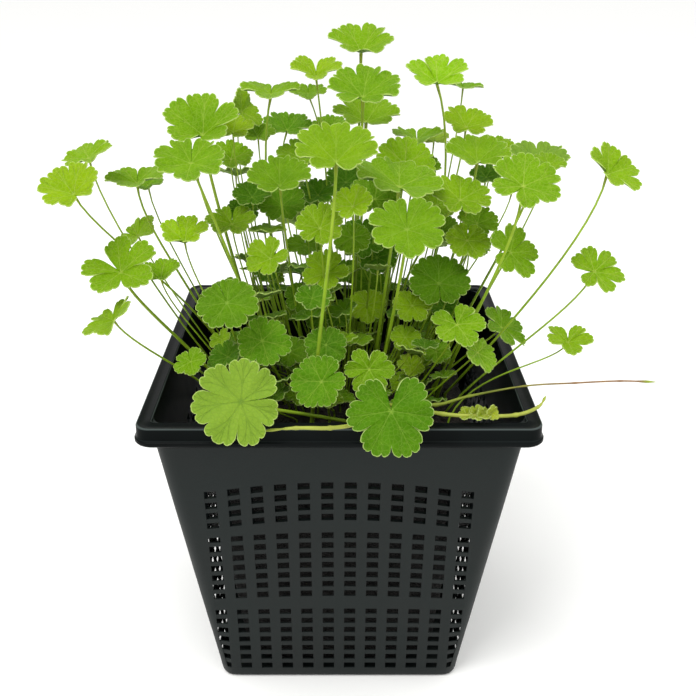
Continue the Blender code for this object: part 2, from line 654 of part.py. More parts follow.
def build_runner(name, line, parts, guides, material):
    """A runner that ends in a pointed bud."""
    radii = [RUNNER_RADIUS] * (len(line) - 2) + [BUD_RADIUS, 0.3]
    new_object(name, tube(name, line, radii, guides), parts, material)


def clear_scene():
    """Remove what the scene holds at the start."""
    for body in list(bpy.data.objects):
        bpy.data.objects.remove(body)


def new_collection(name):
    """A collection linked to the scene."""
    collection = bpy.data.collections.new(name)
    bpy.context.scene.collection.children.link(collection)
    return collection


def build_plant(parts, guides):
    """All runners, leaves and tufts, each stalk led clear of what was placed before it."""
    materials = {tone: make_material(tone, 0.4) for tone in ("bright", "fresh", "deep", "pale", "runner")}
    lines = [runner_line(*runner) for runner in RUNNERS]
    for number, line in enumerate(lines, 1):
        build_runner(f"runner_{number}", line, parts, guides, materials["runner"])
    blades = place_blades([*LEAVES, *(leaf for tuft in REAR_TUFTS for leaf in tuft.leaves)])
    for number, blade in enumerate(blades[: len(LEAVES)], 1):
        line, _ = route_stalk(blade, [other for other in blades if other is not blade], lines)
        lines.append(line)
        leaf_body(f"leaf_{number:02d}", blade, line, parts, materials)
    rest = iter(blades[len(LEAVES) :])
    for number, tuft in enumerate(REAR_TUFTS, 1):
        grown, leaves = [], []
        for _ in tuft.leaves:
            blade = next(rest)
            line, _ = route_stalk(blade, [other for other in blades if other is not blade], lines, tuft.crown)
            grown.append(line)
            leaves.append(leaf_body(f"tuft_{number}_leaf_{len(grown)}", blade, line, guides, materials))
        lines += grown
        build_tuft(f"rear_tuft_{number}", tuft, leaves, parts, materials["fresh"])


def main():
    """Build the whole part."""
    clear_scene()
    parts = new_collection("potted_marsh_pennywort")
    guides = new_collection("guides")
    build_basket(parts, guides)
    build_soil(parts)
    build_plant(parts, guides)


if __name__ == "__main__":
    main()
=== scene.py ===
"""Looks of the potted marsh pennywort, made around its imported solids.

+Z is up, the origin is on the table under the middle of the basket, and -Y is the basket's front.
Lengths are in millimetres until they reach a mesh, where MM turns them to metres.
"""

import logging
import math
from collections.abc import Sequence
from dataclasses import dataclass, field, replace
from enum import Enum
from functools import cached_property

import bmesh
import bpy
import numpy as np
from bmesh.types import BMFace, BMVert, BMesh
from bpy.types import Material, Node, NodeSocket, NodeTree, Object
from mathutils import Matrix, Vector, noise


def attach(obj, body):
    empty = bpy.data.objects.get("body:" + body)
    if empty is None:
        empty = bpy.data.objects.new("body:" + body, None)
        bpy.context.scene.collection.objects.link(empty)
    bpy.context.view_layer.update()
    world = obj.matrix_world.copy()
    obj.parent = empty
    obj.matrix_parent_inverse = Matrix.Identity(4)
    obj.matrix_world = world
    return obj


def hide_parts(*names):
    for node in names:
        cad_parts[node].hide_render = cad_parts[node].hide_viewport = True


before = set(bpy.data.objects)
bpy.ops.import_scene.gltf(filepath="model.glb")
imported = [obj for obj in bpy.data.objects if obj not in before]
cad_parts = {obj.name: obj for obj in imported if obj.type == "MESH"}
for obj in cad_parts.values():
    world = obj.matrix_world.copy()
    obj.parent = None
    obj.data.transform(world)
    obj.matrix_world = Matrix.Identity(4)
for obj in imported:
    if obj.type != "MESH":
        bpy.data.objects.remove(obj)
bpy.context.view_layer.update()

LOG = logging.getLogger("pennywort")
MM = 0.001

# Reference view: where the eye is, in mm, and the picture in pixels. A leaf's hub lies on the line
# of sight through its pixel in that view.
EYE = np.array((0.0, -279.0, 227.3))
EYE_PITCH = math.radians(24.3)
FOCAL = 948.0
MIDDLE_COLUMN = 339.0
MIDDLE_ROW = 348.0
FRAME_SIZE = 696.0
SENSOR_WIDTH = 36.0

# Points of a mesh that lie as near to each other as this, in mm, are made one
SEAM = 0.01
SLIVER = 0.005
HUB_SEAM = 0.001

# Basket and root ball, as far as the plant has to know them
RIM_WIDTH = 112.0
BASE_WIDTH = 77.2
WALL_TOP_WIDTH = 104.0
HEIGHT = 102.5
LIP_HEIGHT = 6.0
WALL = 1.3
WALL_SLOPE = (WALL_TOP_WIDTH - BASE_WIDTH) / 2 / (HEIGHT - LIP_HEIGHT)
SOIL_TOP = 88.0

# The values from here to the runners are those that place the solids, so that each fine leaf lies
# in its solid. Lengths are in mm.

# Blades: the cleft at the stalk, how far the hub lies towards it in radii, the width of a notch in
# lobes, the space between two blades, the steps in which one is moved along its line of sight, and
# the rings and turns of points by which its space is measured
CLEFT = math.radians(16)
HUB_OFFSET = 0.25
NOTCH_WIDTH = 0.16
BLADE_SPACE = 1.1
BLADE_SHIFT = 1.5
BLADE_TRIES = 25
SAMPLE_RINGS = (1.0, 0.8, 0.6, 0.35, 0.1)
SAMPLE_TURNS = 40

# Stalks: their radii, and the curve that leads each one up to its hub, as shares of its length
STALK_RADIUS = 0.6
STALK_TOP_RADIUS = 0.45
STALK_STEPS = 4
STALK_RISE = 0.22
STALK_SWING = 0.2
SWAY_AT_TOP = 0.6
UPRIGHT_SHARE = 0.6
UPRIGHT_REACH = 60.0

# The space that a stalk keeps, and the bows, sways and headings in degrees that are tried for it
STALK_TO_BLADE = 1.35
STALK_TO_STALK = 1.9
STALK_TO_WALL = 1.2
BOWS = (0.26, 0.14, 0.4)
SWAYS = (0.0, 5.0, 10.0, 16.0)
SWAY_TURN = 60
FREE = 99.0

# Roots: where they may lie on the soil, and the rings of places that are tried, turned in degrees
ROOT_SHARE = 0.6
ROOT_LIMIT = 35.5
ROOT_RADIUS = 45.0
ROOT_LIFT = 0.8
ROOT_RING = 2.8
ROOT_RINGS = 9
ROOT_TURN = 45
ROOT_TWIST = 20

# Crowns of the tufts
CROWN_RADIUS = 2.4
CROWN_FLATNESS = 0.6
CROWN_SPREAD = 1.0
CROWN_TURN = 90
CROWN_TWIST = 25

# Runners: how far each rises and leans to the front as it leaves the soil
RUNNER_RISE = 13.0
RUNNER_LEAN = 5.0


class Tone(Enum):
    """How a blade is coloured: partly its own colour, yellower when young and darker when old, and partly
    painted light and shade, brighter where light shines through it and darker where other blades shade it.
    """

    GLOW = "glow"
    BRIGHT = "bright"
    FRESH = "fresh"
    GRASS = "grass"
    DEEP = "deep"
    PALE = "pale"


GLOW, BRIGHT, FRESH, GRASS, DEEP, PALE = Tone


@dataclass(frozen=True)
class Leaf:
    """One leaf, as it was read off the reference view.

    across and down are the pixel of its hub, and back is how far that hub is behind the basket's
    middle, in mm. span is the blade's length in mm. The blade tips by lean degrees towards the
    compass heading toward, and its middle lobe points along the heading tip (0 front, 90 right,
    180 back, -90 left). cup and fold raise its edge, as shares of its radius. notch is the depth of
    the cuts between its lobes, in radii. root is where the stalk leaves the soil, x and y in mm, if
    that isn't the place that the rule gives. gap widens the cleft at the stalk, in degrees.
    """

    across: float
    down: float
    back: float
    span: float
    lean: float
    toward: float
    tip: float
    cup: float
    fold: float
    lobes: int
    notch: float
    tone: Tone
    root: tuple[float, ...] = ()
    gap: float = 0.0


LEFT_LEAVES = (
    Leaf(89, 159, 0, 18.5, 20, -60, 170, 0.20, 0.05, 6, 0.25, BRIGHT),
    Leaf(74, 195, -12, 19.5, 32, -15, -150, 0.45, 0.05, 7, 0.22, BRIGHT),
    Leaf(137, 184, 8, 21, 8, -30, 0, 0.32, 0.05, 5, 0.25, BRIGHT),
    Leaf(185, 243, -8, 16.5, 16, 0, 175, 0.62, 0.05, 5, 0.34, GLOW),
    Leaf(161, 279, -8, 14.5, 12, -30, 170, 0.45, 0.10, 5, 0.30, GLOW),
    Leaf(121, 273, -15, 26, 30, -10, 45, 0.32, 0.12, 5, 0.42, BRIGHT),
    Leaf(138, 236, 12, 17, 30, -60, 60, 0.20, 0.10, 5, 0.25, GLOW),
    Leaf(114, 321, -30, 19, 32, -75, 0, 0.15, 0.20, 5, 0.35, FRESH),
)

TOP_LEAVES = (
    Leaf(203, 136, 12, 26, 30, -5, 175, 0.55, 0.05, 5, 0.35, BRIGHT),
    Leaf(191, 164, -5, 23.5, 24, 0, 0, 0.25, 0.05, 7, 0.20, FRESH),
    Leaf(231, 160, 26, 15.5, 26, 20, 150, 0.30, 0.05, 6, 0.20, GLOW),
    Leaf(271, 95, 20, 21, 5, 0, 0, 0.15, 0.20, 5, 0.25, FRESH),
    Leaf(316, 77, 25, 18.5, 18, 0, 0, 0.40, 0.20, 5, 0.42, BRIGHT),
    Leaf(361, 53, 44, 24, 18, 5, 180, 0.45, 0.05, 6, 0.30, BRIGHT),
    Leaf(363, 98, 7, 25, 20, 0, 170, 0.38, 0.00, 7, 0.25, FRESH),
    Leaf(366, 123, 29, 24, 14, 10, 180, 0.35, 0.05, 6, 0.25, BRIGHT),
    Leaf(437, 84, 15, 21, 22, 0, 180, 0.45, 0.05, 5, 0.45, GLOW),
    Leaf(466, 128, 34, 18.5, 24, 15, 180, 0.32, 0.05, 6, 0.25, BRIGHT),
    Leaf(417, 140, 35, 18.5, 5, 0, 0, 0.15, 0.28, 5, 0.25, BRIGHT),
)

MIDDLE_LEAVES = (
    Leaf(336, 163, -18, 26, 22, 0, 180, 0.46, 0.00, 7, 0.20, FRESH),
    Leaf(301, 158, 18, 19, 22, -30, 150, 0.20, 0.05, 6, 0.22, FRESH),
    Leaf(399, 188, -8, 30, 12, 50, 180, 0.22, 0.05, 7, 0.15, BRIGHT),
    Leaf(405, 165, 14, 21.5, 34, 10, 180, 0.20, 0.00, 7, 0.12, GLOW),
    Leaf(407, 230, -25, 24.5, 33, 0, 0, 0.28, 0.04, 7, 0.20, GRASS),
    Leaf(280, 187, 0, 21.5, 20, -10, 180, 0.44, 0.05, 7, 0.18, GRASS),
    Leaf(232, 225, 5, 17.5, 22, 0, 0, 0.36, 0.05, 6, 0.30, BRIGHT),
    Leaf(282, 206, 14, 17.5, 38, 0, 180, 0.20, 0.00, 7, 0.12, GRASS),
    Leaf(271, 259, -12, 16, 42, -30, -60, 0.30, 0.10, 5, 0.35, BRIGHT),
    Leaf(320, 229, -14, 16.5, 40, -10, 160, 0.25, 0.05, 7, 0.20, BRIGHT),
    Leaf(353, 207, -20, 13.5, 38, -15, 180, 0.30, 0.05, 6, 0.20, GLOW),
    Leaf(467, 241, -5, 15.5, 40, 10, 0, 0.18, 0.05, 6, 0.20, BRIGHT),
    Leaf(460, 201, -12, 21, 24, 20, 180, 0.20, 0.05, 7, 0.18, BRIGHT),
    Leaf(439, 284, -8, 21, 40, 0, 180, 0.12, 0.00, 7, 0.08, DEEP),
    Leaf(367, 305, 4, 14.5, 40, 0, 0, 0.10, 0.05, 7, 0.12, GLOW),
)

RIGHT_LEAVES = (
    Leaf(523, 187, -15, 24, 32, 10, 150, 0.18, 0.05, 6, 0.32, BRIGHT),
    Leaf(477, 163, 8, 22.5, 14, 10, 180, 0.40, 0.05, 7, 0.18, FRESH),
    Leaf(538, 165, 26, 23, 12, 20, 180, 0.32, 0.05, 6, 0.22, PALE),
    Leaf(510, 253, -10, 20, 46, 30, 105, 0.15, 0.05, 5, 0.42, FRESH),
    Leaf(594, 272, -10, 19.5, 34, 20, 110, 0.15, 0.05, 6, 0.40, BRIGHT, (33, -20)),
    Leaf(568, 343, -22, 16, 14, 0, 0, 0.25, 0.22, 5, 0.40, BRIGHT, (32, -32)),
    Leaf(607, 175, -5, 20.5, 38, 45, 120, 0.40, 0.05, 5, 0.40, BRIGHT, (34, -8)),
    Leaf(501, 328, -4, 19, 36, 60, 90, 0.15, 0.05, 6, 0.36, FRESH),
)

FRONT_LEAVES = (
    Leaf(241, 402, -59, 27, 60, 5, -75, 0.06, 0.00, 7, 0.20, PALE, (14, -33)),
    Leaf(391, 411, -59, 26.5, 60, 0, 0, 0.08, 0.00, 6, 0.24, DEEP, gap=28),
    Leaf(369, 369, -38, 16, 60, 0, 0, 0.18, 0.00, 6, 0.34, FRESH),
    Leaf(322, 382, -42, 18.5, 46, -20, -60, 0.15, 0.10, 6, 0.20, GRASS),
    Leaf(326, 345, -28, 14.5, 45, 0, 0, 0.15, 0.05, 7, 0.14, DEEP),
    Leaf(262, 341, -30, 18, 44, 10, 40, 0.12, 0.05, 6, 0.18, GRASS),
    Leaf(227, 303, -32, 19.5, 38, 0, 20, 0.10, 0.00, 7, 0.14, DEEP),
    Leaf(457, 325, -34, 18, 26, 0, 20, 0.12, 0.05, 5, 0.30, BRIGHT, gap=20),
    Leaf(477, 353, -42, 14.5, 40, 60, 60, 0.05, 0.10, 6, 0.18, BRIGHT),
)

LEAVES = LEFT_LEAVES + TOP_LEAVES + MIDDLE_LEAVES + RIGHT_LEAVES + FRONT_LEAVES


@dataclass(frozen=True)
class Tuft:
    """Leaves that share one crown on the soil, with the crown's x and y in mm."""

    crown: tuple[float, float]
    leaves: tuple[Leaf, ...]


# Behind the leaves of the reference view
REAR_TUFTS = (
    Tuft((-26, 24), (
        Leaf(196, 160, 46, 19, 16, 150, 150, 0.30, 0.05, 6, 0.20, FRESH),
        Leaf(236, 176, 52, 17, 20, 180, 170, 0.28, 0.05, 7, 0.16, FRESH),
        Leaf(240, 226, 34, 14, 24, -150, 0, 0.25, 0.05, 6, 0.20, DEEP),
        Leaf(222, 292, 22, 18, 26, -100, -90, 0.20, 0.05, 6, 0.22, DEEP),
        Leaf(252, 262, 44, 16, 34, 170, 150, 0.20, 0.05, 7, 0.14, DEEP),
    )),
    Tuft((-9, 33), (
        Leaf(284, 192, 60, 19, 22, 180, 180, 0.30, 0.05, 6, 0.20, FRESH),
        Leaf(304, 166, 58, 17, 12, 150, 160, 0.30, 0.05, 6, 0.22, FRESH),
        Leaf(287, 131, 45, 18.5, 18, 20, 180, 0.32, 0.05, 6, 0.25, FRESH),
        Leaf(308, 94, 42, 14, 14, 0, 0, 0.20, 0.10, 5, 0.20, FRESH),
        Leaf(305, 246, 40, 15, 20, 0, 0, 0.20, 0.05, 7, 0.12, DEEP),
        Leaf(296, 222, 66, 18, 36, 180, 180, 0.20, 0.05, 7, 0.16, FRESH),
        Leaf(282, 272, 58, 15, 40, -170, 170, 0.20, 0.05, 6, 0.18, DEEP),
    )),
    Tuft((11, 33), (
        Leaf(352, 208, 58, 18, 26, 180, 180, 0.28, 0.05, 6, 0.20, FRESH),
        Leaf(398, 184, 50, 20, 16, 170, 170, 0.30, 0.05, 7, 0.18, FRESH),
        Leaf(404, 226, 62, 19, 34, 175, 180, 0.22, 0.05, 7, 0.14, DEEP),
        Leaf(360, 250, 36, 14, 18, 0, 0, 0.18, 0.05, 7, 0.12, DEEP),
        Leaf(352, 238, -4, 13, 42, 0, 0, 0.15, 0.00, 7, 0.10, DEEP),
        Leaf(336, 276, 46, 15, 30, 180, 180, 0.20, 0.05, 6, 0.18, DEEP),
    )),
    Tuft((27, 23), (
        Leaf(462, 208, 46, 18, 20, 150, 150, 0.28, 0.05, 6, 0.20, FRESH),
        Leaf(442, 272, 38, 16, 28, 160, 150, 0.22, 0.05, 7, 0.14, DEEP),
        Leaf(512, 192, 44, 17, 18, 130, 130, 0.28, 0.05, 6, 0.24, FRESH),
        Leaf(463, 88, 46, 15, 6, 90, 0, 0.15, 0.10, 5, 0.25, PALE),
        Leaf(470, 246, 26, 15, 24, 60, 60, 0.22, 0.05, 6, 0.18, DEEP),
        Leaf(436, 244, 58, 17, 36, 165, 160, 0.22, 0.05, 7, 0.16, DEEP),
    )),
)

# Young leaves between the grown ones
YOUNG_LEAVES = (
    (
        Leaf(252, 198, 12, 14, 24, 0, 180, 0.25, 0.05, 6, 0.20, DEEP),
        Leaf(243, 214, 20, 13, 30, 0, 150, 0.25, 0.05, 6, 0.20, DEEP),
        Leaf(265, 233, 2, 15, -8, 0, 90, 0.15, 0.10, 5, 0.25, FRESH),
        Leaf(262, 298, -16, 13, -20, 20, 120, 0.20, 0.05, 6, 0.20, PALE),
        Leaf(303, 297, 4, 14, 40, 0, 0, 0.12, 0.05, 7, 0.15, DEEP),
        Leaf(290, 352, -18, 13, 30, 0, 20, 0.15, 0.05, 6, 0.20, DEEP),
        Leaf(233, 133, 18, 14, 24, 20, 180, 0.35, 0.10, 5, 0.25, BRIGHT),
        Leaf(241, 112, 20, 15, 62, 62, 178, 0.15, 0.30, 5, 0.15, BRIGHT),
        Leaf(258, 137, 30, 13, 20, 0, 180, 0.30, 0.05, 6, 0.20, FRESH),
        Leaf(191, 362, -34, 11, 34, -20, 10, 0.15, 0.10, 5, 0.25, FRESH),
        Leaf(148, 186, 20, 12, 12, -20, 0, 0.30, 0.05, 5, 0.25, FRESH),
        Leaf(222, 340, -8, 9, 40, -40, 0, 0.30, 0.10, 5, 0.45, FRESH),
    ),
    (
        Leaf(318, 196, 22, 14, 26, 0, 180, 0.25, 0.05, 6, 0.20, DEEP),
        Leaf(346, 183, 32, 16, 28, 0, 180, 0.22, 0.05, 7, 0.18, DEEP),
        Leaf(375, 200, 6, 19, 32, -10, 170, 0.22, 0.05, 7, 0.20, FRESH),
        Leaf(362, 238, 8, 18, 38, 0, 0, 0.18, 0.05, 7, 0.15, DEEP),
        Leaf(377, 258, 6, 15, 34, 0, 0, 0.18, 0.05, 7, 0.14, DEEP),
        Leaf(328, 273, -8, 17, 36, -10, -60, 0.25, 0.10, 5, 0.30, FRESH),
        Leaf(368, 284, 16, 15, 34, 0, 0, 0.20, 0.05, 7, 0.15, DEEP),
        Leaf(322, 317, 6, 13, 38, 0, 0, 0.15, 0.05, 7, 0.15, DEEP),
        Leaf(346, 272, 20, 13, 30, 0, 0, 0.20, 0.05, 6, 0.20, DEEP),
        Leaf(330, 130, 50, 15, 14, 0, 180, 0.30, 0.05, 6, 0.20, FRESH),
        Leaf(306, 208, 34, 13, 20, 0, 180, 0.25, 0.05, 6, 0.20, DEEP),
        Leaf(338, 318, -2, 10, 30, 0, 0, 0.20, 0.05, 6, 0.25, DEEP),
    ),
    (
        Leaf(412, 306, -10, 14, 36, 0, 0, 0.18, 0.05, 6, 0.22, FRESH),
        Leaf(434, 140, 44, 12, 16, 0, 180, 0.25, 0.05, 6, 0.25, PALE),
        Leaf(437, 206, 10, 17, 30, 10, 180, 0.22, 0.05, 7, 0.18, FRESH),
        Leaf(477, 224, 8, 15, 30, 20, 170, 0.22, 0.05, 7, 0.18, FRESH),
        Leaf(486, 178, 16, 12, 20, 0, 180, 0.25, 0.05, 6, 0.20, DEEP),
        Leaf(440, 232, 22, 15, 30, 0, 180, 0.22, 0.05, 7, 0.16, DEEP),
        Leaf(405, 338, -14, 11, 34, 0, 0, 0.20, 0.05, 6, 0.25, FRESH),
        Leaf(410, 366, -22, 10, 30, 20, 0, 0.25, 0.10, 5, 0.30, BRIGHT),
        Leaf(436, 352, -20, 10, 34, 0, 30, 0.20, 0.05, 6, 0.25, FRESH),
        Leaf(444, 308, 6, 12, 30, 0, 0, 0.20, 0.05, 6, 0.20, DEEP),
        Leaf(423, 170, 30, 14, 20, 0, 180, 0.25, 0.05, 7, 0.18, FRESH),
        Leaf(548, 166, 10, 12, 16, 30, 160, 0.30, 0.05, 6, 0.22, FRESH),
        Leaf(495, 150, 40, 15, 18, 20, 180, 0.25, 0.05, 6, 0.22, FRESH),
    ),
)

# Runners: the root on the soil, then the way by pixel and distance behind the basket's middle
LONG_RUNNER = (
    (19, -34),
    ((436, 405, -41), (470, 396, -38), (525, 386, -33), (575, 383, -32), (620, 381, -31), (656, 382, -31)),
)
RIM_RUNNER = (
    (12.5, -36),
    ((443, 414, -51), (478, 416, -51.5), (516, 415, -51), (538, 407, -47), (546, 396, -45)),
)
FRONT_RUNNER = (
    (5, -34),
    ((372, 415, -51), (356, 424, -56), (330, 428, -58.5), (296, 428, -58.5), (262, 431, -58)),
)
RUNNERS = (LONG_RUNNER, RIM_RUNNER, FRONT_RUNNER)

# Folded leaflets on the runner along the rim
RIM_LEAFLETS = (
    Leaf(467, 416, -51.2, 4.6, 34, -30, -90, 0.35, 0.55, 5, 0.25, BRIGHT),
    Leaf(475, 415, -51.2, 5.2, 40, 10, 90, 0.30, 0.55, 5, 0.30, BRIGHT),
    Leaf(483, 416, -51.4, 4.6, 30, 30, -60, 0.30, 0.60, 5, 0.30, BRIGHT),
    Leaf(490, 413, -51.0, 4.6, 64, 30, 150, 0.30, 0.55, 5, 0.30, BRIGHT),
)


def compass(heading: float) -> np.ndarray:
    """Level unit vector along a compass heading in degrees."""
    angle = math.radians(heading)
    return np.array((math.sin(angle), -math.cos(angle), 0.0))


def sight(across: float, down: float, back: float) -> np.ndarray:
    """Point on the line of sight through a pixel, back mm behind the basket's middle."""
    forward = np.array((0.0, math.cos(EYE_PITCH), -math.sin(EYE_PITCH)))
    below = np.array((0.0, -math.sin(EYE_PITCH), -math.cos(EYE_PITCH)))
    right = np.array((1.0, 0.0, 0.0))
    line = forward + right * (across - MIDDLE_COLUMN) / FOCAL + below * (down - MIDDLE_ROW) / FOCAL
    return EYE + line * (back - EYE[1]) / line[1]


def seen_at(point: np.ndarray) -> tuple[float, float, float]:
    """Pixel of a point in the reference view, and how far it is behind the basket's middle."""
    depth = (point - EYE) @ (0.0, math.cos(EYE_PITCH), -math.sin(EYE_PITCH))
    below = (point - EYE) @ (0.0, -math.sin(EYE_PITCH), -math.cos(EYE_PITCH))
    return MIDDLE_COLUMN + FOCAL * (point - EYE)[0] / depth, MIDDLE_ROW + FOCAL * below / depth, point[1]


class Blade:
    """A leaf blade in place: its hub, its own axes and its curved surface."""

    def __init__(self, leaf: Leaf, back: float) -> None:
        """Set the blade on its line of sight.

        Args:
            leaf: the leaf as it was read off the reference view.
            back: how far its hub is behind the basket's middle, in mm.
        """
        self.leaf = leaf
        self.radius = leaf.span / 2
        self.hub = sight(leaf.across, leaf.down, back)
        lean = math.radians(leaf.lean)
        normal = np.array((0.0, 0.0, math.cos(lean))) + compass(leaf.toward) * math.sin(lean)
        along = compass(leaf.tip) - normal * (compass(leaf.tip) @ normal)
        along /= np.linalg.norm(along)
        self.axes = np.stack((along, np.cross(normal, along), normal))

    def reach(self, turn: np.ndarray) -> np.ndarray:
        """Outline radius, in radii, at an angle from the middle lobe."""
        half = math.pi - CLEFT / 2
        place = np.clip((turn + half) / (2 * half), 0, 1) * self.leaf.lobes
        notch = self.leaf.notch * np.exp(-(((place - np.round(place)) / NOTCH_WIDTH) ** 2))
        return (1 - notch) * (1 - HUB_OFFSET * (turn / math.pi) ** 2)

    def rise(self, x: np.ndarray, y: np.ndarray) -> np.ndarray:
        """Height of the surface over the hub at x along and y across the middle lobe, in radii."""
        reach = np.hypot(x, y)
        side = np.abs(y)
        return self.leaf.cup * reach * (1.4 - 0.4 * reach) + self.leaf.fold * side * (1.3 - 0.3 * side)

    @cached_property
    def samples(self) -> np.ndarray:
        """Points all over the blade, for measuring the space to its neighbours."""
        turns = np.linspace(-math.pi, math.pi, SAMPLE_TURNS + 1)[:-1]
        outline = self.reach(turns)
        local = []
        for share in SAMPLE_RINGS:
            x, y = share * outline * np.cos(turns), share * outline * np.sin(turns)
            local.append(np.stack((x, y, self.rise(x, y)), axis=-1) * self.radius)
        return self.hub + np.concatenate(local) @ self.axes

    def space(self, points: np.ndarray) -> np.ndarray:
        """Distance of each point from the blade, taken as a full disc."""
        local = (points - self.hub) @ self.axes.T / self.radius
        reach = np.hypot(local[..., 0], local[..., 1])
        inward = 1.0 / np.maximum(reach, 1.0)
        over = local[..., 2] - self.rise(local[..., 0] * inward, local[..., 1] * inward)
        return np.hypot(np.maximum(reach - 1.0, 0.0), over) * self.radius

    def space_to(self, other: "Blade") -> float:
        """Smallest distance to another blade."""
        return min(other.space(self.samples).min(), self.space(other.samples).min())


def clear_of_basket(points: np.ndarray, margin: float) -> np.ndarray:
    """Whether each point keeps a margin to the basket's wall and rim."""
    out = np.maximum(np.abs(points[..., 0]), np.abs(points[..., 1]))
    inner = BASE_WIDTH / 2 + WALL_SLOPE * points[..., 2] - WALL
    return (out < inner - margin) | (points[..., 2] > HEIGHT + margin) | (out > RIM_WIDTH / 2 + margin)


def place_blades(leaves: Sequence[Leaf], placed: Sequence[Blade] = ()) -> list[Blade]:
    """Set the blades one by one, each moved along its line of sight until it is clear of the others.

    Args:
        leaves: the leaves, as they were read off the reference view.
        placed: blades that are in place already.

    Returns:
        The blades that are in place, followed by the new ones.
    """
    blades = [*placed]
    for leaf in leaves:
        best, best_space = Blade(leaf, leaf.back), -1.0
        for step in range(BLADE_TRIES):
            shift = BLADE_SHIFT * ((step + 1) // 2) * (1 if step % 2 else -1)
            blade = Blade(leaf, leaf.back + shift)
            if not clear_of_basket(blade.samples, BLADE_SPACE).all():
                continue
            space = min((blade.space_to(other) for other in blades), default=FREE)
            if space > best_space:
                best, best_space = blade, space
            if space > BLADE_SPACE:
                break
        blades.append(best)
    return blades


def to_lines(points: np.ndarray, lines: list[np.ndarray]) -> np.ndarray:
    """Distance of each point to the nearest straight stretch of the lines."""
    start = np.concatenate([line[:-1] for line in lines])
    step = np.concatenate([line[1:] - line[:-1] for line in lines])
    offset = points[..., None, :] - start
    share = np.clip((offset * step).sum(-1) / (step * step).sum(-1), 0, 1)
    return np.linalg.norm(offset - share[..., None] * step, axis=-1).min(-1)


def place_on_soil(root: np.ndarray | tuple[float, float]) -> np.ndarray:
    """Point on the soil, where a stalk or a runner starts."""
    return np.array((root[0], root[1], SOIL_TOP + ROOT_LIFT))


def root_ring(blade: Blade, ring: int) -> list[np.ndarray]:
    """Places on the soil to try for a root, ring by ring around its natural one."""
    natural = np.array(blade.leaf.root or blade.hub[:2] * ROOT_SHARE, dtype=float)
    natural /= max(1.0, np.abs(natural).max() / ROOT_LIMIT, np.hypot(*natural) / ROOT_RADIUS)
    turns = np.radians(np.arange(0, 360, ROOT_TURN) + ROOT_TWIST * ring) if ring else np.zeros(1)
    roots = natural + ROOT_RING * ring * np.stack((np.cos(turns), np.sin(turns)), axis=-1)
    return [root for root in roots if np.abs(root).max() <= ROOT_LIMIT and np.hypot(*root) <= ROOT_RADIUS]


def crown_ring(crown: tuple[float, float], ring: int) -> list[np.ndarray]:
    """Places in a crown to try for a root."""
    turns = np.radians(np.arange(0, 360, CROWN_TURN) + CROWN_TWIST * ring)
    return list(np.array(crown) + CROWN_SPREAD * np.stack((np.cos(turns), np.sin(turns)), axis=-1))


def read_lines(lines: np.ndarray, count: int) -> np.ndarray:
    """Evenly spread points on a stack of lines of straight stretches."""
    t = np.linspace(0, lines.shape[1] - 1, count)
    whole = np.minimum(t.astype(int), lines.shape[1] - 2)
    return lines[:, whole] + (lines[:, whole + 1] - lines[:, whole]) * (t - whole)[:, None]


@dataclass(frozen=True)
class Search:
    """What is tried to find a stalk its way, and the space that it keeps to blades and stalks, in mm.

    readings is how many points of a stalk are measured.
    """

    to_blade: float = STALK_TO_BLADE
    to_stalk: float = STALK_TO_STALK
    rings: int = ROOT_RINGS
    sways: tuple[float, ...] = SWAYS
    bows: tuple[float, ...] = BOWS
    readings: int = 70


@dataclass(frozen=True)
class Route:
    """How one stalk runs: its root, how it bows, which way it sways and the room that is left."""

    root: np.ndarray
    bow: float
    sway: np.ndarray
    room: float = 0.0

    def line(self, blade: Blade, steps: int = STALK_STEPS) -> np.ndarray:
        """Lead the stalk from the soil to a blade's hub.

        Args:
            blade: the blade that the stalk carries.
            steps: the number of straight stretches.

        Returns:
            Points on a cubic curve.
        """
        foot = place_on_soil(self.root)
        length = np.linalg.norm(blade.hub - foot)
        low = foot + self.sway + (0.0, 0.0, self.bow * length)
        low = low + (blade.hub - foot) * (STALK_SWING, STALK_SWING, 0.0)
        upright = UPRIGHT_SHARE * np.clip((blade.hub[2] - HEIGHT) / UPRIGHT_REACH, 0, 1)
        heading = (1 - upright) * blade.axes[2] + (0.0, 0.0, upright)
        high = blade.hub + SWAY_AT_TOP * self.sway - heading / np.linalg.norm(heading) * STALK_RISE * length
        t = np.linspace(0, 1, steps + 1)[:, None]
        return (1 - t) ** 3 * foot + 3 * (1 - t) ** 2 * t * low + 3 * (1 - t) * t**2 * high + t**3 * blade.hub


def route_stalk(
    blade: Blade,
    others: list[Blade],
    lines: list[np.ndarray],
    crown: tuple[float, float] | None = None,
    search: Search = Search(),
) -> Route:
    """The nearest clear way for one stalk, or the clearest where none is clear.

    Args:
        blade: the blade that the stalk carries.
        others: the blades that it has to pass.
        lines: the centre lines of the stalks and runners that it has to pass.
        crown: the x and y of its tuft's crown, where it grows from one.
        search: what is tried.

    Returns:
        The route of the stalk, whose room is below 0 where it isn't clear.
    """
    best, best_room = None, -FREE
    for ring in range(search.rings):
        roots = root_ring(blade, ring) if crown is None else crown_ring(crown, ring)
        routes = [
            Route(root, bow, sway * compass(heading))
            for sway in search.sways
            for heading in (range(0, 360, SWAY_TURN) if sway else (0,))
            for bow in search.bows
            for root in roots
        ]
        if not routes:
            continue
        points = read_lines(np.array([route.line(blade) for route in routes]), search.readings)
        room = np.min([other.space(points).min(-1) for other in others], axis=0) - search.to_blade
        room = np.minimum(room, to_lines(points, lines).min(-1) - search.to_stalk)
        room = np.where(clear_of_basket(points, STALK_TO_WALL).all(-1), room, -FREE)
        pick = int(np.argmax(room > 0)) if (room > 0).any() else int(np.argmax(room))
        if room[pick] > best_room:
            best, best_room = replace(routes[pick], room=float(room[pick])), room[pick]
        if best_room > 0:
            break
    return best


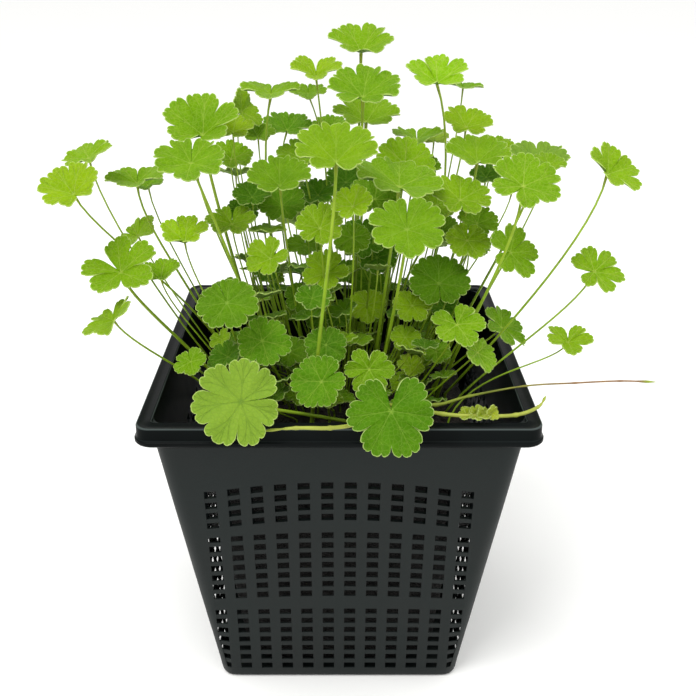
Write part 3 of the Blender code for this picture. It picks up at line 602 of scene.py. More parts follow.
def smooth_line(points: np.ndarray, steps: int) -> np.ndarray:
    """Points on a smooth curve through the given ones."""
    ends = np.concatenate((2 * points[:1] - points[1:2], points, 2 * points[-1:] - points[-2:-1]))
    t = np.linspace(0, 1, steps, endpoint=False)[:, None]
    curve = []
    for a, b, c, d in zip(ends, ends[1:], ends[2:], ends[3:]):
        curve.append(b + 0.5 * t * (c - a + t * (2 * a - 5 * b + 4 * c - d + t * (3 * b - a - 3 * c + d))))
    return np.concatenate((*curve, points[-1:]))


def runner_line(root: tuple[float, float], way: tuple, steps: int) -> np.ndarray:
    """Centre line of a runner from the soil to its bud."""
    foot = place_on_soil(root)
    knee = foot + (0.0, -RUNNER_LEAN, RUNNER_RISE)
    return smooth_line(np.array((foot, knee, *(sight(*stop) for stop in way))), steps)


def linear(hex_colour: str) -> tuple[float, float, float, float]:
    """Linear red, green, blue and alpha from an sRGB hex colour."""
    values = [int(hex_colour[i : i + 2], 16) / 255 for i in (1, 3, 5)]
    red, green, blue = (v / 12.92 if v <= 0.04045 else ((v + 0.055) / 1.055) ** 2.4 for v in values)
    return red, green, blue, 1.0


def add_node(
    tree: NodeTree, kind: str, inputs: dict | tuple = (), result: int | str = 0, **settings: object
) -> NodeSocket:
    """Add a shader node.

    Args:
        tree: the tree that it goes in.
        kind: the node's type without its ShaderNode prefix.
        inputs: what its inputs take, in their order or by name or number. A socket is linked, and
            a value or a hex colour is set.
        result: the name or number of the output that is read.
        **settings: the node's own properties.

    Returns:
        That output of the new node.
    """
    node = tree.nodes.new("ShaderNode" + kind)
    for name, value in settings.items():
        setattr(node, name, value)
    for name, value in inputs.items() if isinstance(inputs, dict) else enumerate(inputs):
        if isinstance(value, NodeSocket):
            tree.links.new(value, node.inputs[name])
        else:
            node.inputs[name].default_value = linear(value) if isinstance(value, str) else value
    return node.outputs[result]


def lay_over(tree: NodeTree, colour: object, over: str, mask: NodeSocket, cover: float = 1.0) -> NodeSocket:
    """Lay a second colour over a first where a mask is.

    Args:
        tree: the tree of the material.
        colour: the first colour, a socket or a hex colour.
        over: the second colour.
        mask: where the second colour lies, from 0 to 1.
        cover: the share of the first colour that it hides.

    Returns:
        The colour of both.
    """
    share = add_node(tree, "Math", (mask, cover), operation="MULTIPLY")
    return add_node(tree, "Mix", {0: share, 6: colour, 7: over}, 2, data_type="RGBA")


def grains(tree: NodeTree, size: float, detail: float = 2.0, roughness: float = 0.5) -> NodeSocket:
    """Noise on the object's own coordinates, with patches of a size in mm."""
    place = add_node(tree, "TexCoord", result="Object")
    values = {"Vector": place, "Scale": 1 / (size * MM), "Detail": detail, "Roughness": roughness}
    return add_node(tree, "TexNoise", values)


def patchwork(
    tree: NodeTree, size: float, low: float, high: float, detail: float = 2.0, roughness: float = 0.5
) -> NodeSocket:
    """Soft patches of a size in mm, that fade in between two levels of their noise."""
    level = grains(tree, size, detail, roughness)
    return add_node(tree, "MapRange", (level, low, high), interpolation_type="SMOOTHSTEP")


def meshwork(tree: NodeTree, size: float, width: float) -> NodeSocket:
    """Net of lines between cells of a size in mm, with lines as wide as a share of the cells."""
    values = {"Vector": add_node(tree, "TexCoord", result="Object"), "Scale": 1 / (size * MM)}
    to_edge = add_node(tree, "TexVoronoi", values, feature="DISTANCE_TO_EDGE")
    return add_node(tree, "MapRange", (to_edge, 0.0, width, 1.0, 0.0), interpolation_type="SMOOTHSTEP")


def new_material(name: str) -> tuple[Material, NodeTree, Node]:
    """An empty Principled material, its tree and its shader."""
    material = bpy.data.materials.new(name)
    material.use_nodes = True
    tree = material.node_tree
    return material, tree, tree.nodes["Principled BSDF"]


def make_fleshy(
    shader: Node, gloss: float, glow: float, spread: tuple[float, float, float], depth: float
) -> None:
    """Set the gloss of a living skin and the glow of the flesh under it.

    Args:
        shader: the shader.
        gloss: how strongly the skin mirrors.
        glow: the share of the light that goes into the flesh.
        spread: how far red, green and blue light go, as shares of the depth.
        depth: how deep the light goes, in mm.
    """
    shader.inputs["IOR"].default_value = 1.42
    shader.inputs["Specular IOR Level"].default_value = gloss
    shader.inputs["Subsurface Weight"].default_value = glow
    shader.inputs["Subsurface Radius"].default_value = spread
    shader.inputs["Subsurface Scale"].default_value = depth * MM


def finish_shader(
    tree: NodeTree, shader: Node, colour: NodeSocket, roughness: NodeSocket, height: NodeSocket, relief: float
) -> None:
    """Give a shader its colour, its roughness and a relief, whose full height is in mm."""
    tree.links.new(colour, shader.inputs["Base Color"])
    tree.links.new(roughness, shader.inputs["Roughness"])
    bump = add_node(tree, "Bump", {"Height": height, "Strength": 1.0, "Distance": relief * MM})
    tree.links.new(bump, shader.inputs["Normal"])


@dataclass(frozen=True)
class BladeFinish:
    """Skin of a pennywort blade: a waxy, softly glossy face over pale veins that fork to the teeth.

    patch, mottle and net are the sizes of its patterns in mm. The real net of fine veins has cells
    of about 0.6 mm. It is drawn coarser, because it wouldn't show from where the eye is. A cover is
    the share of the colour below that a pattern hides, and heights and depths are shares of the
    relief. A fade is where on the way out from the hub a colour starts and ends, and its cover
    there. A fork is the share of the way out where a side vein starts, its slope, and its first
    distance from the middle vein in lobes. The veins' widths are in mm.
    """

    name: str
    face: str
    shadow: str
    vein: str
    vein_cover: float
    roughness: float
    rim: str = "#C4D684"
    patch: float = 7.0
    patch_cover: float = 0.45
    mottle: float = 1.1
    mottle_cover: float = 0.3
    mottle_height: float = 0.35
    net: float = 1.3
    net_cover: float = 0.2
    net_depth: float = 0.6
    relief: float = 0.10
    value_spread: float = 0.14
    hue_spread: float = 0.012
    hub_fade: tuple[float, ...] = (0.03, 0.11, 0.7, 0.0)
    rim_fade: tuple[float, ...] = (0.972, 0.996, 0.0, 0.5)
    forks: tuple[tuple[float, ...], ...] = ((0.30, 0.42, 0.0), (0.62, 0.30, 0.0), (0.66, 0.75, 0.15))
    vein_width: float = 0.26
    vein_taper: float = 0.12
    vein_edge: tuple[float, float] = (0.35, 1.3)
    fork_thinness: float = 0.06
    out_of_reach: float = 9.0

    def vein_mask(self, tree: NodeTree) -> tuple[NodeSocket, NodeSocket]:
        """Draw the veins from the blade's own map.

        Args:
            tree: the tree of the material.

        Returns:
            How much of a vein there is, and the share of the way from the hub to the margin.
        """
        own = add_node(tree, "UVMap", uv_map="blade")
        share = add_node(tree, "SeparateXYZ", (own,), "Y")
        side = add_node(tree, "Math", (add_node(tree, "SeparateXYZ", (own,), "X"),), operation="ABSOLUTE")
        width = add_node(tree, "Attribute", result="Fac", attribute_name="lobe_width")
        scale = add_node(tree, "Math", (share, width), operation="MULTIPLY")
        nearest = add_node(tree, "Math", (side, scale), operation="MULTIPLY")
        for start, slope, base in self.forks:
            past = add_node(tree, "Math", (share, start), operation="SUBTRACT")
            past = add_node(tree, "Math", (past, 0.0), operation="MAXIMUM")
            line = add_node(tree, "Math", (past, slope, base), operation="MULTIPLY_ADD")
            off = add_node(tree, "Math", (side, line), operation="SUBTRACT")
            off = add_node(tree, "Math", (off,), operation="ABSOLUTE")
            before = add_node(tree, "Math", (share, start), operation="LESS_THAN")
            away = (before, self.out_of_reach, self.fork_thinness)
            away = add_node(tree, "Math", away, operation="MULTIPLY_ADD")
            gap = add_node(tree, "Math", (off, scale, away), operation="MULTIPLY_ADD")
            nearest = add_node(tree, "Math", (nearest, gap), operation="MINIMUM")
        taper = (share, -self.vein_taper, self.vein_width)
        half_width = add_node(tree, "Math", taper, operation="MULTIPLY_ADD")
        ratio = add_node(tree, "Math", (nearest, half_width), operation="DIVIDE")
        mask = add_node(tree, "MapRange", (ratio, *self.vein_edge, 1.0, 0.0), interpolation_type="SMOOTHSTEP")
        return mask, share

    def build(self) -> Material:
        """Make the material."""
        material, tree, shader = new_material(self.name)
        veins, share = self.vein_mask(tree)
        patches = patchwork(tree, self.patch, 0.35, 0.65)
        mottle = patchwork(tree, self.mottle, 0.3, 0.7, 3.0)
        net = meshwork(tree, self.net, 0.16)
        hub = add_node(tree, "MapRange", (share, *self.hub_fade), interpolation_type="SMOOTHSTEP")
        margin = add_node(tree, "MapRange", (share, *self.rim_fade), interpolation_type="SMOOTHSTEP")
        shade = add_node(tree, "Attribute", result="Fac", attribute_name="shade")
        value = add_node(tree, "Math", (shade, self.value_spread, 1.0), operation="MULTIPLY_ADD")
        hue = add_node(tree, "Math", (shade, -self.hue_spread, 0.5), operation="MULTIPLY_ADD")
        colour = lay_over(tree, self.face, self.shadow, patches, self.patch_cover)
        colour = lay_over(tree, colour, self.shadow, mottle, self.mottle_cover)
        colour = add_node(tree, "HueSaturation", {"Hue": hue, "Value": value, "Color": colour})
        colour = lay_over(tree, colour, self.vein, net, self.net_cover)
        colour = lay_over(tree, colour, self.vein, veins, self.vein_cover)
        colour = lay_over(tree, colour, self.vein, hub)
        colour = lay_over(tree, colour, self.rim, margin)
        height = add_node(tree, "Math", (mottle, self.mottle_height), operation="MULTIPLY")
        height = add_node(tree, "Math", (height, veins), operation="SUBTRACT")
        height = add_node(tree, "Math", (net, -self.net_depth, height), operation="MULTIPLY_ADD")
        rough = add_node(tree, "Math", (mottle, 0.12, self.roughness), operation="MULTIPLY_ADD")
        finish_shader(tree, shader, colour, rough, height, self.relief)
        make_fleshy(shader, 0.08, 0.12, (0.6, 1.0, 0.1), 1.2)
        return material


# Waxed leaf skin over thin flesh: a broad soft sheen, and light that glows a little through it.
# Young blades are yellower and old ones darker, and the tones also hold painted light and shade: glow is
# brighter for blades that light shines through, deep darker for blades in the shade of others.
BLADE_FINISHES = {
    GLOW: BladeFinish("pennywort_blade_glow", "#8AB20C", "#759E08", "#AFC658", 0.40, 0.50),
    BRIGHT: BladeFinish("pennywort_blade_bright", "#779B0A", "#638A06", "#9FB84A", 0.40, 0.50),
    FRESH: BladeFinish("pennywort_blade_fresh", "#6D930A", "#578006", "#93B040", 0.38, 0.50),
    GRASS: BladeFinish("pennywort_blade_grass", "#5E880A", "#497406", "#86A53A", 0.36, 0.50),
    DEEP: BladeFinish("pennywort_blade_deep", "#507A06", "#3E6604", "#789A34", 0.38, 0.50),
    PALE: BladeFinish("pennywort_blade_pale", "#7E9A30", "#708E2A", "#60802A", 0.35, 0.55),
}
# Skin without wax: greyer and dull
UNDERSIDE_FINISH = BladeFinish("pennywort_underside", "#6C8836", "#5E7A2C", "#8AA254", 0.40, 0.60)
# Skin of leaflets that are just opening: olive yellow
LEAFLET_FINISH = BladeFinish("pennywort_leaflet", "#93A024", "#7C8C1A", "#A8B45A", 0.40, 0.55)


@dataclass(frozen=True)
class StalkFinish:
    """Skin of a stalk or runner: smooth and juicy, yellow-green, with fine ridges and a coloured end.

    patch and ridge are the sizes of its patterns in mm. The tip's colour comes in from tip_start on
    and over tip_length, as shares of the way along the stalk.
    """

    name: str
    foot: str
    middle: str
    tip: str
    tip_start: float
    tip_length: float = 0.3
    bud: str = "#8A9A30"
    patch: float = 4.0
    ridge: float = 0.5
    relief: float = 0.05

    def build(self) -> Material:
        """Make the material."""
        material, tree, shader = new_material(self.name)
        along = add_node(tree, "Attribute", result="Fac", attribute_name="along")
        colour = self.foot
        tip_end = self.tip_start + self.tip_length
        stretches = (self.middle, 0.0, 0.55), (self.tip, self.tip_start, tip_end), (self.bud, 0.93, 0.97)
        for over, start, end in stretches:
            reached = add_node(tree, "MapRange", (along, start, end), interpolation_type="SMOOTHSTEP")
            colour = lay_over(tree, colour, over, reached)
        patches = patchwork(tree, self.patch, 0.35, 0.7, 3.0)
        value = add_node(tree, "Math", (patches, -0.2, 1.08), operation="MULTIPLY_ADD")
        colour = add_node(tree, "HueSaturation", {"Value": value, "Color": colour})
        fine = grains(tree, self.ridge)
        rough = add_node(tree, "Math", (fine, 0.15, 0.32), operation="MULTIPLY_ADD")
        finish_shader(tree, shader, colour, rough, fine, self.relief)
        make_fleshy(shader, 0.25, 0.15, (0.7, 1.0, 0.3), 1.0)
        return material


# Taut green stem: a thin bright line of light along it
STALK_FINISH = StalkFinish("pennywort_stalk", "#6C861A", "#7A981C", "#88A22A", 0.5)
# Pale stem that has grown in the light
RUNNER_FINISH = StalkFinish("pennywort_runner", "#7E8E2A", "#9AA244", "#9CA444", 0.5)
# Stem that the sun has reddened towards its tip
LONG_RUNNER_FINISH = StalkFinish("pennywort_runner_reddened", "#7A8A26", "#808C34", "#8A6A48", 0.45)


@dataclass(frozen=True)
class MouldedPlastic:
    """Polypropylene as it comes from the mould: dark slate grey, faintly grained, with a soft sheen.

    cloud, grain and scuff are the sizes of its patterns in mm. The mould's grain is really about
    0.2 mm and is drawn coarser, because it wouldn't show from where the eye is.
    """

    name: str
    face: str
    lighter: str
    roughness: float
    sheen: float = 0.2
    edge: str = "#565F5D"
    cloud: float = 22.0
    grain: float = 0.45
    scuff: float = 3.0
    relief: float = 0.03

    def build(self) -> Material:
        """Make the material."""
        material, tree, shader = new_material(self.name)
        clouds = patchwork(tree, self.cloud, 0.3, 0.7, 3.0)
        scuffs = patchwork(tree, self.scuff, 0.62, 0.8, 6.0, 0.7)
        # Painted highlights: pale lines of the edge colour along the lip's edges, where its mesh marks them
        edge_highlight = add_node(tree, "Attribute", result="Fac", attribute_name="edge_highlight")
        edge_highlight = add_node(tree, "MapRange", (edge_highlight, 0.2, 1.0, 0.0, 0.6), interpolation_type="SMOOTHSTEP")
        colour = lay_over(tree, self.face, self.lighter, clouds, 0.35)
        colour = lay_over(tree, colour, self.lighter, scuffs, 0.3)
        colour = lay_over(tree, colour, self.edge, edge_highlight)
        rough = add_node(tree, "Math", (clouds, 0.1, self.roughness), operation="MULTIPLY_ADD")
        rough = add_node(tree, "Math", (scuffs, 0.12, rough), operation="MULTIPLY_ADD")
        finish_shader(tree, shader, colour, rough, grains(tree, self.grain), self.relief)
        shader.inputs["IOR"].default_value = 1.49
        shader.inputs["Specular IOR Level"].default_value = self.sheen
        return material


# Grained plastic: it spreads the light, so the walls look slate grey and even
WALL_FINISH = MouldedPlastic("polypropylene_wall", "#101615", "#192120", 0.5)
# Smooth plastic of the lip: almost black, with painted highlights, narrow bright lines, along its edges. The
# walls' inner faces take it too, as painted shade.
LIP_AND_INNER_SHADE_FINISH = MouldedPlastic("polypropylene_lip_and_inner_shade", "#080B0B", "#141919", 0.28, 0.04)


@dataclass(frozen=True)
class PeatFinish:
    """Moist peat with fibres and paler crumbs, with painted shade that darkens the block's sides towards near
    black below its top.

    clod and cell are the sizes of its patterns in mm, and the fibres lie between the cells.
    """

    name: str
    wet_and_shade: str
    dry: str
    fibre: str
    side_shade: str
    clod: float = 3.0
    cell: float = 1.6
    relief: float = 0.5
    side_shade_top: float = SOIL_TOP - 2
    side_shade_full: float = SOIL_TOP - 9

    def build(self) -> Material:
        """Make the material."""
        material, tree, shader = new_material(self.name)
        clods = patchwork(tree, self.clod, 0.35, 0.7, 5.0, 0.65)
        fibres = meshwork(tree, self.cell, 0.07)
        # Painted shade: below the top the block's sides lie in the shade of the basket's wall, so they are
        # darkened towards near black
        up = add_node(tree, "SeparateXYZ", (add_node(tree, "TexCoord", result="Object"),), "Z")
        levels = (up, self.side_shade_full * MM, self.side_shade_top * MM, 0.8, 0.0)
        wet_and_shade = add_node(tree, "MapRange", levels, interpolation_type="SMOOTHSTEP")
        colour = lay_over(tree, self.wet_and_shade, self.dry, clods)
        colour = lay_over(tree, colour, self.fibre, fibres, 0.25)
        colour = lay_over(tree, colour, self.side_shade, wet_and_shade)
        height = add_node(tree, "Math", (fibres, 0.5, clods), operation="MULTIPLY_ADD")
        rough = add_node(tree, "Math", (clods, -0.2, 0.95), operation="MULTIPLY_ADD")
        finish_shader(tree, shader, colour, rough, height, self.relief)
        return material


# Wet peat: nearly black, with dull brown crumbs where it has begun to dry, and a near-black painted shade
# down the block's sides
PEAT_FINISH = PeatFinish("moist_peat", "#0C0906", "#241910", "#4A3722", "#040404")


def settle(name: str, mesh: BMesh, materials: list[Material], sharp: float) -> Object:
    """Make a piece of the object from a bmesh that is used up.

    Args:
        name: the piece's name.
        mesh: its mesh, in metres, in place.
        materials: its materials, in the order of its faces' indices.
        sharp: the angle in degrees from which an edge stays sharp.

    Returns:
        The piece, riding on the one body.
    """
    data = bpy.data.meshes.new(name)
    mesh.to_mesh(data)
    mesh.free()
    for material in materials:
        data.materials.append(material)
    data.shade_smooth()
    data.set_sharp_from_angle(angle=math.radians(sharp))
    piece = bpy.data.objects.new(name, data)
    bpy.context.scene.collection.objects.link(piece)
    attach(piece, "root")
    LOG.info("%s: %d faces", name, len(data.polygons))
    return piece


def join(mesh: BMesh, part: BMesh, shift: int = 0) -> None:
    """Add a part to a mesh.

    Args:
        mesh: the mesh that grows.
        part: the part, which is used up.
        shift: how far the numbers of the part's materials move.
    """
    for face in part.faces:
        face.material_index += shift
    data = bpy.data.meshes.new("part")
    part.to_mesh(data)
    part.free()
    mesh.from_mesh(data)
    bpy.data.meshes.remove(data)


def stand_for(node: str, mesh: BMesh, materials: list[Material], sharp: float) -> None:
    """Let a piece stand for a solid: make the piece and hide the solid.

    Args:
        node: the name of the solid.
        mesh: the piece's mesh, which is used up.
        materials: its materials, in the order of its faces' indices.
        sharp: the angle in degrees from which an edge stays sharp.
    """
    piece = settle(f"fine_{node}", mesh, materials, sharp)
    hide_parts(node)


def lay_grid(mesh: BMesh, columns: int, rows: int) -> tuple[list[BMVert], np.ndarray, np.ndarray]:
    """Lay a flat grid, to be bent into shape.

    Args:
        mesh: where the grid goes.
        columns: how many points lie side by side.
        rows: how many rows of them there are.

    Returns:
        The grid's vertices, and the number of the column and of the row of each.
    """
    sheet = bmesh.ops.create_grid(mesh, x_segments=columns - 1, y_segments=rows - 1, size=0.5)["verts"]
    grid = np.array([vert.co.xy for vert in sheet]) + 0.5
    column = np.round(grid[:, 0] * (columns - 1)).astype(int)
    row = np.round(grid[:, 1] * (rows - 1)).astype(int)
    return sheet, column, row


def bend(sheet: Sequence[BMVert], points: np.ndarray) -> None:
    """Move vertices to their places, in mm."""
    for vert, point in zip(sheet, points):
        vert.co = Vector(point) * MM


def cells(mesh: BMesh, sheet: list[BMVert]) -> list[tuple[BMFace, list[int]]]:
    """Faces of a grid, each with the numbers of the grid's points at its corners."""
    mesh.verts.index_update()
    number_of = {vert.index: number for number, vert in enumerate(sheet)}
    faces = dict.fromkeys(face for vert in sheet for face in vert.link_faces)
    return [(face, [number_of[vert.index] for vert in face.verts]) for face in faces]


def sweep(mesh: BMesh, line: np.ndarray, radii: np.ndarray, sides: int, index: int) -> None:
    """Draw a closed round tube along a line.

    Args:
        mesh: where the tube goes.
        line: its centre line, in mm.
        radii: its radius at each point of the line, in mm.
        sides: how many sides it has.
        index: the number of its material.
    """
    layer = mesh.verts.layers.float["along"]
    first = Vector(line[1] - line[0])
    turn = Vector((0, 0, 1)).rotation_difference(first).to_matrix().to_4x4()
    middle = Matrix.Translation(Vector((line[0] + line[1]) / 2) * MM) @ turn
    start = bmesh.ops.create_cone(
        mesh, cap_ends=True, segments=sides, radius1=radii[0] * MM, radius2=radii[1] * MM,
        depth=first.length * MM, matrix=middle,
    )["verts"]
    made = list(start)
    target = Vector(line[1]) * MM
    caps = {face for vert in start for face in vert.link_faces if len(face.verts) == sides}
    face = min(caps, key=lambda cap: (cap.calc_center_median() - target).length)
    heading = first.normalized()
    for step in range(2, len(line)):
        center = face.calc_center_median()
        ahead = Vector(line[min(step + 1, len(line) - 1)] - line[step - 1]).normalized()
        swing = heading.rotation_difference(ahead)
        heading = ahead
        face = bmesh.ops.extrude_discrete_faces(mesh, faces=[face])["faces"][0]
        for vert in face.verts:
            vert.co = Vector(line[step]) * MM + swing @ (vert.co - center) * (radii[step] / radii[step - 1])
            vert[layer] = step / (len(line) - 1)
            made.append(vert)
    for face in {face for vert in made for face in vert.link_faces}:
        face.material_index = index
        face.smooth = True


@dataclass
class LeafGrower:
    """Grows a leaf: a lobed, toothed and pleated blade on a thin stalk.

    Lengths are in mm. rings says how far from the hub each ring of points lies. The depths of the
    outline and of the pleats, waves and wander are in radii. The cleft is in degrees and widens
    where the notches are deeper than cleft_from.
    """

    thickness: float = 0.32
    rings: tuple[float, ...] = (0.0, 0.05, 0.14, 0.28, 0.44, 0.60, 0.75, 0.87, 0.95, 0.985, 1.0)
    scallops: int = 24
    points_per_scallop: int = 8
    scallop_depth: float = 0.075
    scallop_roundness: float = 0.7
    tooth_depth: float = 0.012
    tooth_roundness: float = 0.6
    notch_gain: float = 1.35
    notch_limit: float = 0.55
    unevenness: float = 0.35
    lobe_roundness: float = 2.6
    least_cleft: float = 4.0
    cleft_from: float = 0.2
    cleft_gain: float = 60.0
    pleat: float = 0.045
    wave: float = 0.035
    wander: float = 0.022
    stalk_steps: int = 14
    stalk_sides: int = 8
    foot_depth: float = 2.5
    foot_swell: float = 1.25
    collar_swell: float = 1.5
    collar_sink: float = 0.1
    small_span: float = 8.0
    full_span: float = 26.0

    def start(self) -> BMesh:
        """Start a mesh with the layers that the finishes read."""
        mesh = bmesh.new()
        for name in ("along", "shade", "lobe_width"):
            mesh.verts.layers.float.new(name)
        mesh.loops.layers.uv.new("blade")
        return mesh

    def turn(self, leaf: Leaf, place: np.ndarray) -> np.ndarray:
        """Angle from the middle lobe of places along the outline, counted in lobes."""
        cleft = self.least_cleft + leaf.gap + self.cleft_gain * max(leaf.notch - self.cleft_from, 0.0)
        half = math.pi - math.radians(cleft) / 2
        return place / leaf.lobes * 2 * half - half

    def outline(self, blade: Blade, place: np.ndarray, chance: np.ndarray) -> np.ndarray:
        """Radius of the toothed outline.

        Args:
            blade: the blade.
            place: places along the outline, counted in lobes.
            chance: random numbers of this leaf, from 0 to 1, of which the last are for its notches.

        Returns:
            The outline's distance from the hub at each place, in radii.
        """
        leaf = blade.leaf
        turn = self.turn(leaf, place)
        nearest = np.round(place)
        to_middle = np.maximum(1 - 2 * np.abs(place - nearest), 0)
        depth = min(self.notch_gain * leaf.notch, self.notch_limit)
        depth = depth * (1 + self.unevenness * (2 * chance[6 + nearest.astype(int)] - 1))
        notch = depth * (1 - np.sqrt(1 - to_middle**self.lobe_roundness))
        wide = math.pi * place * round(self.scallops / leaf.lobes)
        scallop = self.scallop_depth * (1 - np.abs(np.sin(wide)) ** self.scallop_roundness)
        tooth = self.tooth_depth * (1 - np.abs(np.sin(2 * wide)) ** self.tooth_roundness)
        drift = np.sin(2 * turn + math.tau * chance[0]) + np.sin(3 * turn + math.tau * chance[1])
        whole = 1 - HUB_OFFSET * (turn / math.pi) ** 2
        return (1 - notch) * (1 - scallop) * (1 - tooth) * whole * (1 - self.wander * (2 - drift))

    def surface(self, blade: Blade, place: np.ndarray, share: np.ndarray, chance: np.ndarray) -> np.ndarray:
        """Cup, fold, pleat and wave a blade.

        Args:
            blade: the blade in place.
            place: where each point is along the outline, counted in lobes.
            share: how far each point is on its way from the hub to the outline.
            chance: random numbers of this leaf, from 0 to 1.

        Returns:
            The points in place, in mm.
        """
        turn = self.turn(blade.leaf, place)
        radius = share * self.outline(blade, place, chance)
        x, y = radius * np.cos(turn), radius * np.sin(turn)
        pleat = -self.pleat * share**1.5 * np.cos(math.tau * (place - 0.5))
        wave = self.wave * share**3 * np.sin(math.tau * (place * 1.5 + chance[2]))
        z = blade.rise(x, y) + pleat + wave
        return blade.hub + np.stack((x, y, z), axis=-1) * blade.radius @ blade.axes

    def thicken(self, mesh: BMesh, faces: list[BMFace], normal: Vector) -> None:
        """Give a blade its thickness, half of it on each side.

        Args:
            mesh: where the blade is.
            faces: the faces of its sheet.
            normal: the way that its upper side looks. What looks the other way is its underside.
        """
        verts = list(dict.fromkeys(vert for face in faces for vert in face.verts))
        bmesh.ops.translate(mesh, verts=verts, vec=normal * self.thickness / 2 * MM)
        made = bmesh.ops.solidify(mesh, geom=faces, thickness=self.thickness * MM)["geom"]
        # The narrow faces around the margin look sideways and keep the upper side's finish
        for face in {*faces, *(part for part in made if isinstance(part, BMFace))}:
            face.normal_update()
            face.smooth = True
            face.material_index = 1 if face.normal.dot(normal) < -0.05 else 0

    def blade_sheet(self, mesh: BMesh, blade: Blade) -> None:
        """Lay a grid around the hub, bend it to the blade's form and map its lobes.

        Args:
            mesh: where the blade goes.
            blade: the blade in place.
        """
        lobes = blade.leaf.lobes
        seed = int(blade.leaf.across * 1000 + blade.leaf.down)
        chance = np.random.default_rng(seed).random(7 + lobes)
        columns = lobes * round(self.scallops / lobes) * self.points_per_scallop
        sheet, column, row = lay_grid(mesh, columns + 1, len(self.rings))
        place, share = column / columns * lobes, np.array(self.rings)[row]
        uv = mesh.loops.layers.uv["blade"]
        faces = []
        for face, numbers in cells(mesh, sheet):
            middle = math.floor(place[numbers].mean()) + 0.5
            for loop, number in zip(face.loops, numbers):
                loop[uv].uv = (place[number] - middle, share[number])
            faces.append(face)
        layer = mesh.verts.layers.float
        for vert in sheet:
            vert[layer["lobe_width"]] = math.tau * blade.radius / lobes
            vert[layer["shade"]] = 2 * chance[3] - 1
        bend(sheet, self.surface(blade, place, share, chance))
        bmesh.ops.reverse_faces(mesh, faces=faces)
        hub = [vert for vert, ring in zip(sheet, row) if ring == 0]
        bmesh.ops.remove_doubles(mesh, verts=hub, dist=HUB_SEAM * MM)
        self.thicken(mesh, [face for face in faces if face.is_valid], Vector(blade.axes[2]))

    def grow(self, blade: Blade, route: Route) -> BMesh:
        """Make the mesh of one leaf.

        Args:
            blade: the blade in place.
            route: the route of its stalk.

        Returns:
            The leaf's mesh.
        """
        mesh = self.start()
        line = route.line(blade, self.stalk_steps)
        line = np.concatenate((line[:1] - (0, 0, self.foot_depth), line))
        line[-1] -= blade.axes[2] * self.collar_sink
        size = (blade.leaf.span - self.small_span) / (self.full_span - self.small_span)
        radii = np.clip(size, 0.5, 1.0) * np.linspace(STALK_RADIUS, STALK_TOP_RADIUS, len(line))
        radii[:2] *= self.foot_swell
        radii[-1] *= self.collar_swell
        sweep(mesh, line, radii, self.stalk_sides, 2)
        self.blade_sheet(mesh, blade)
        return mesh


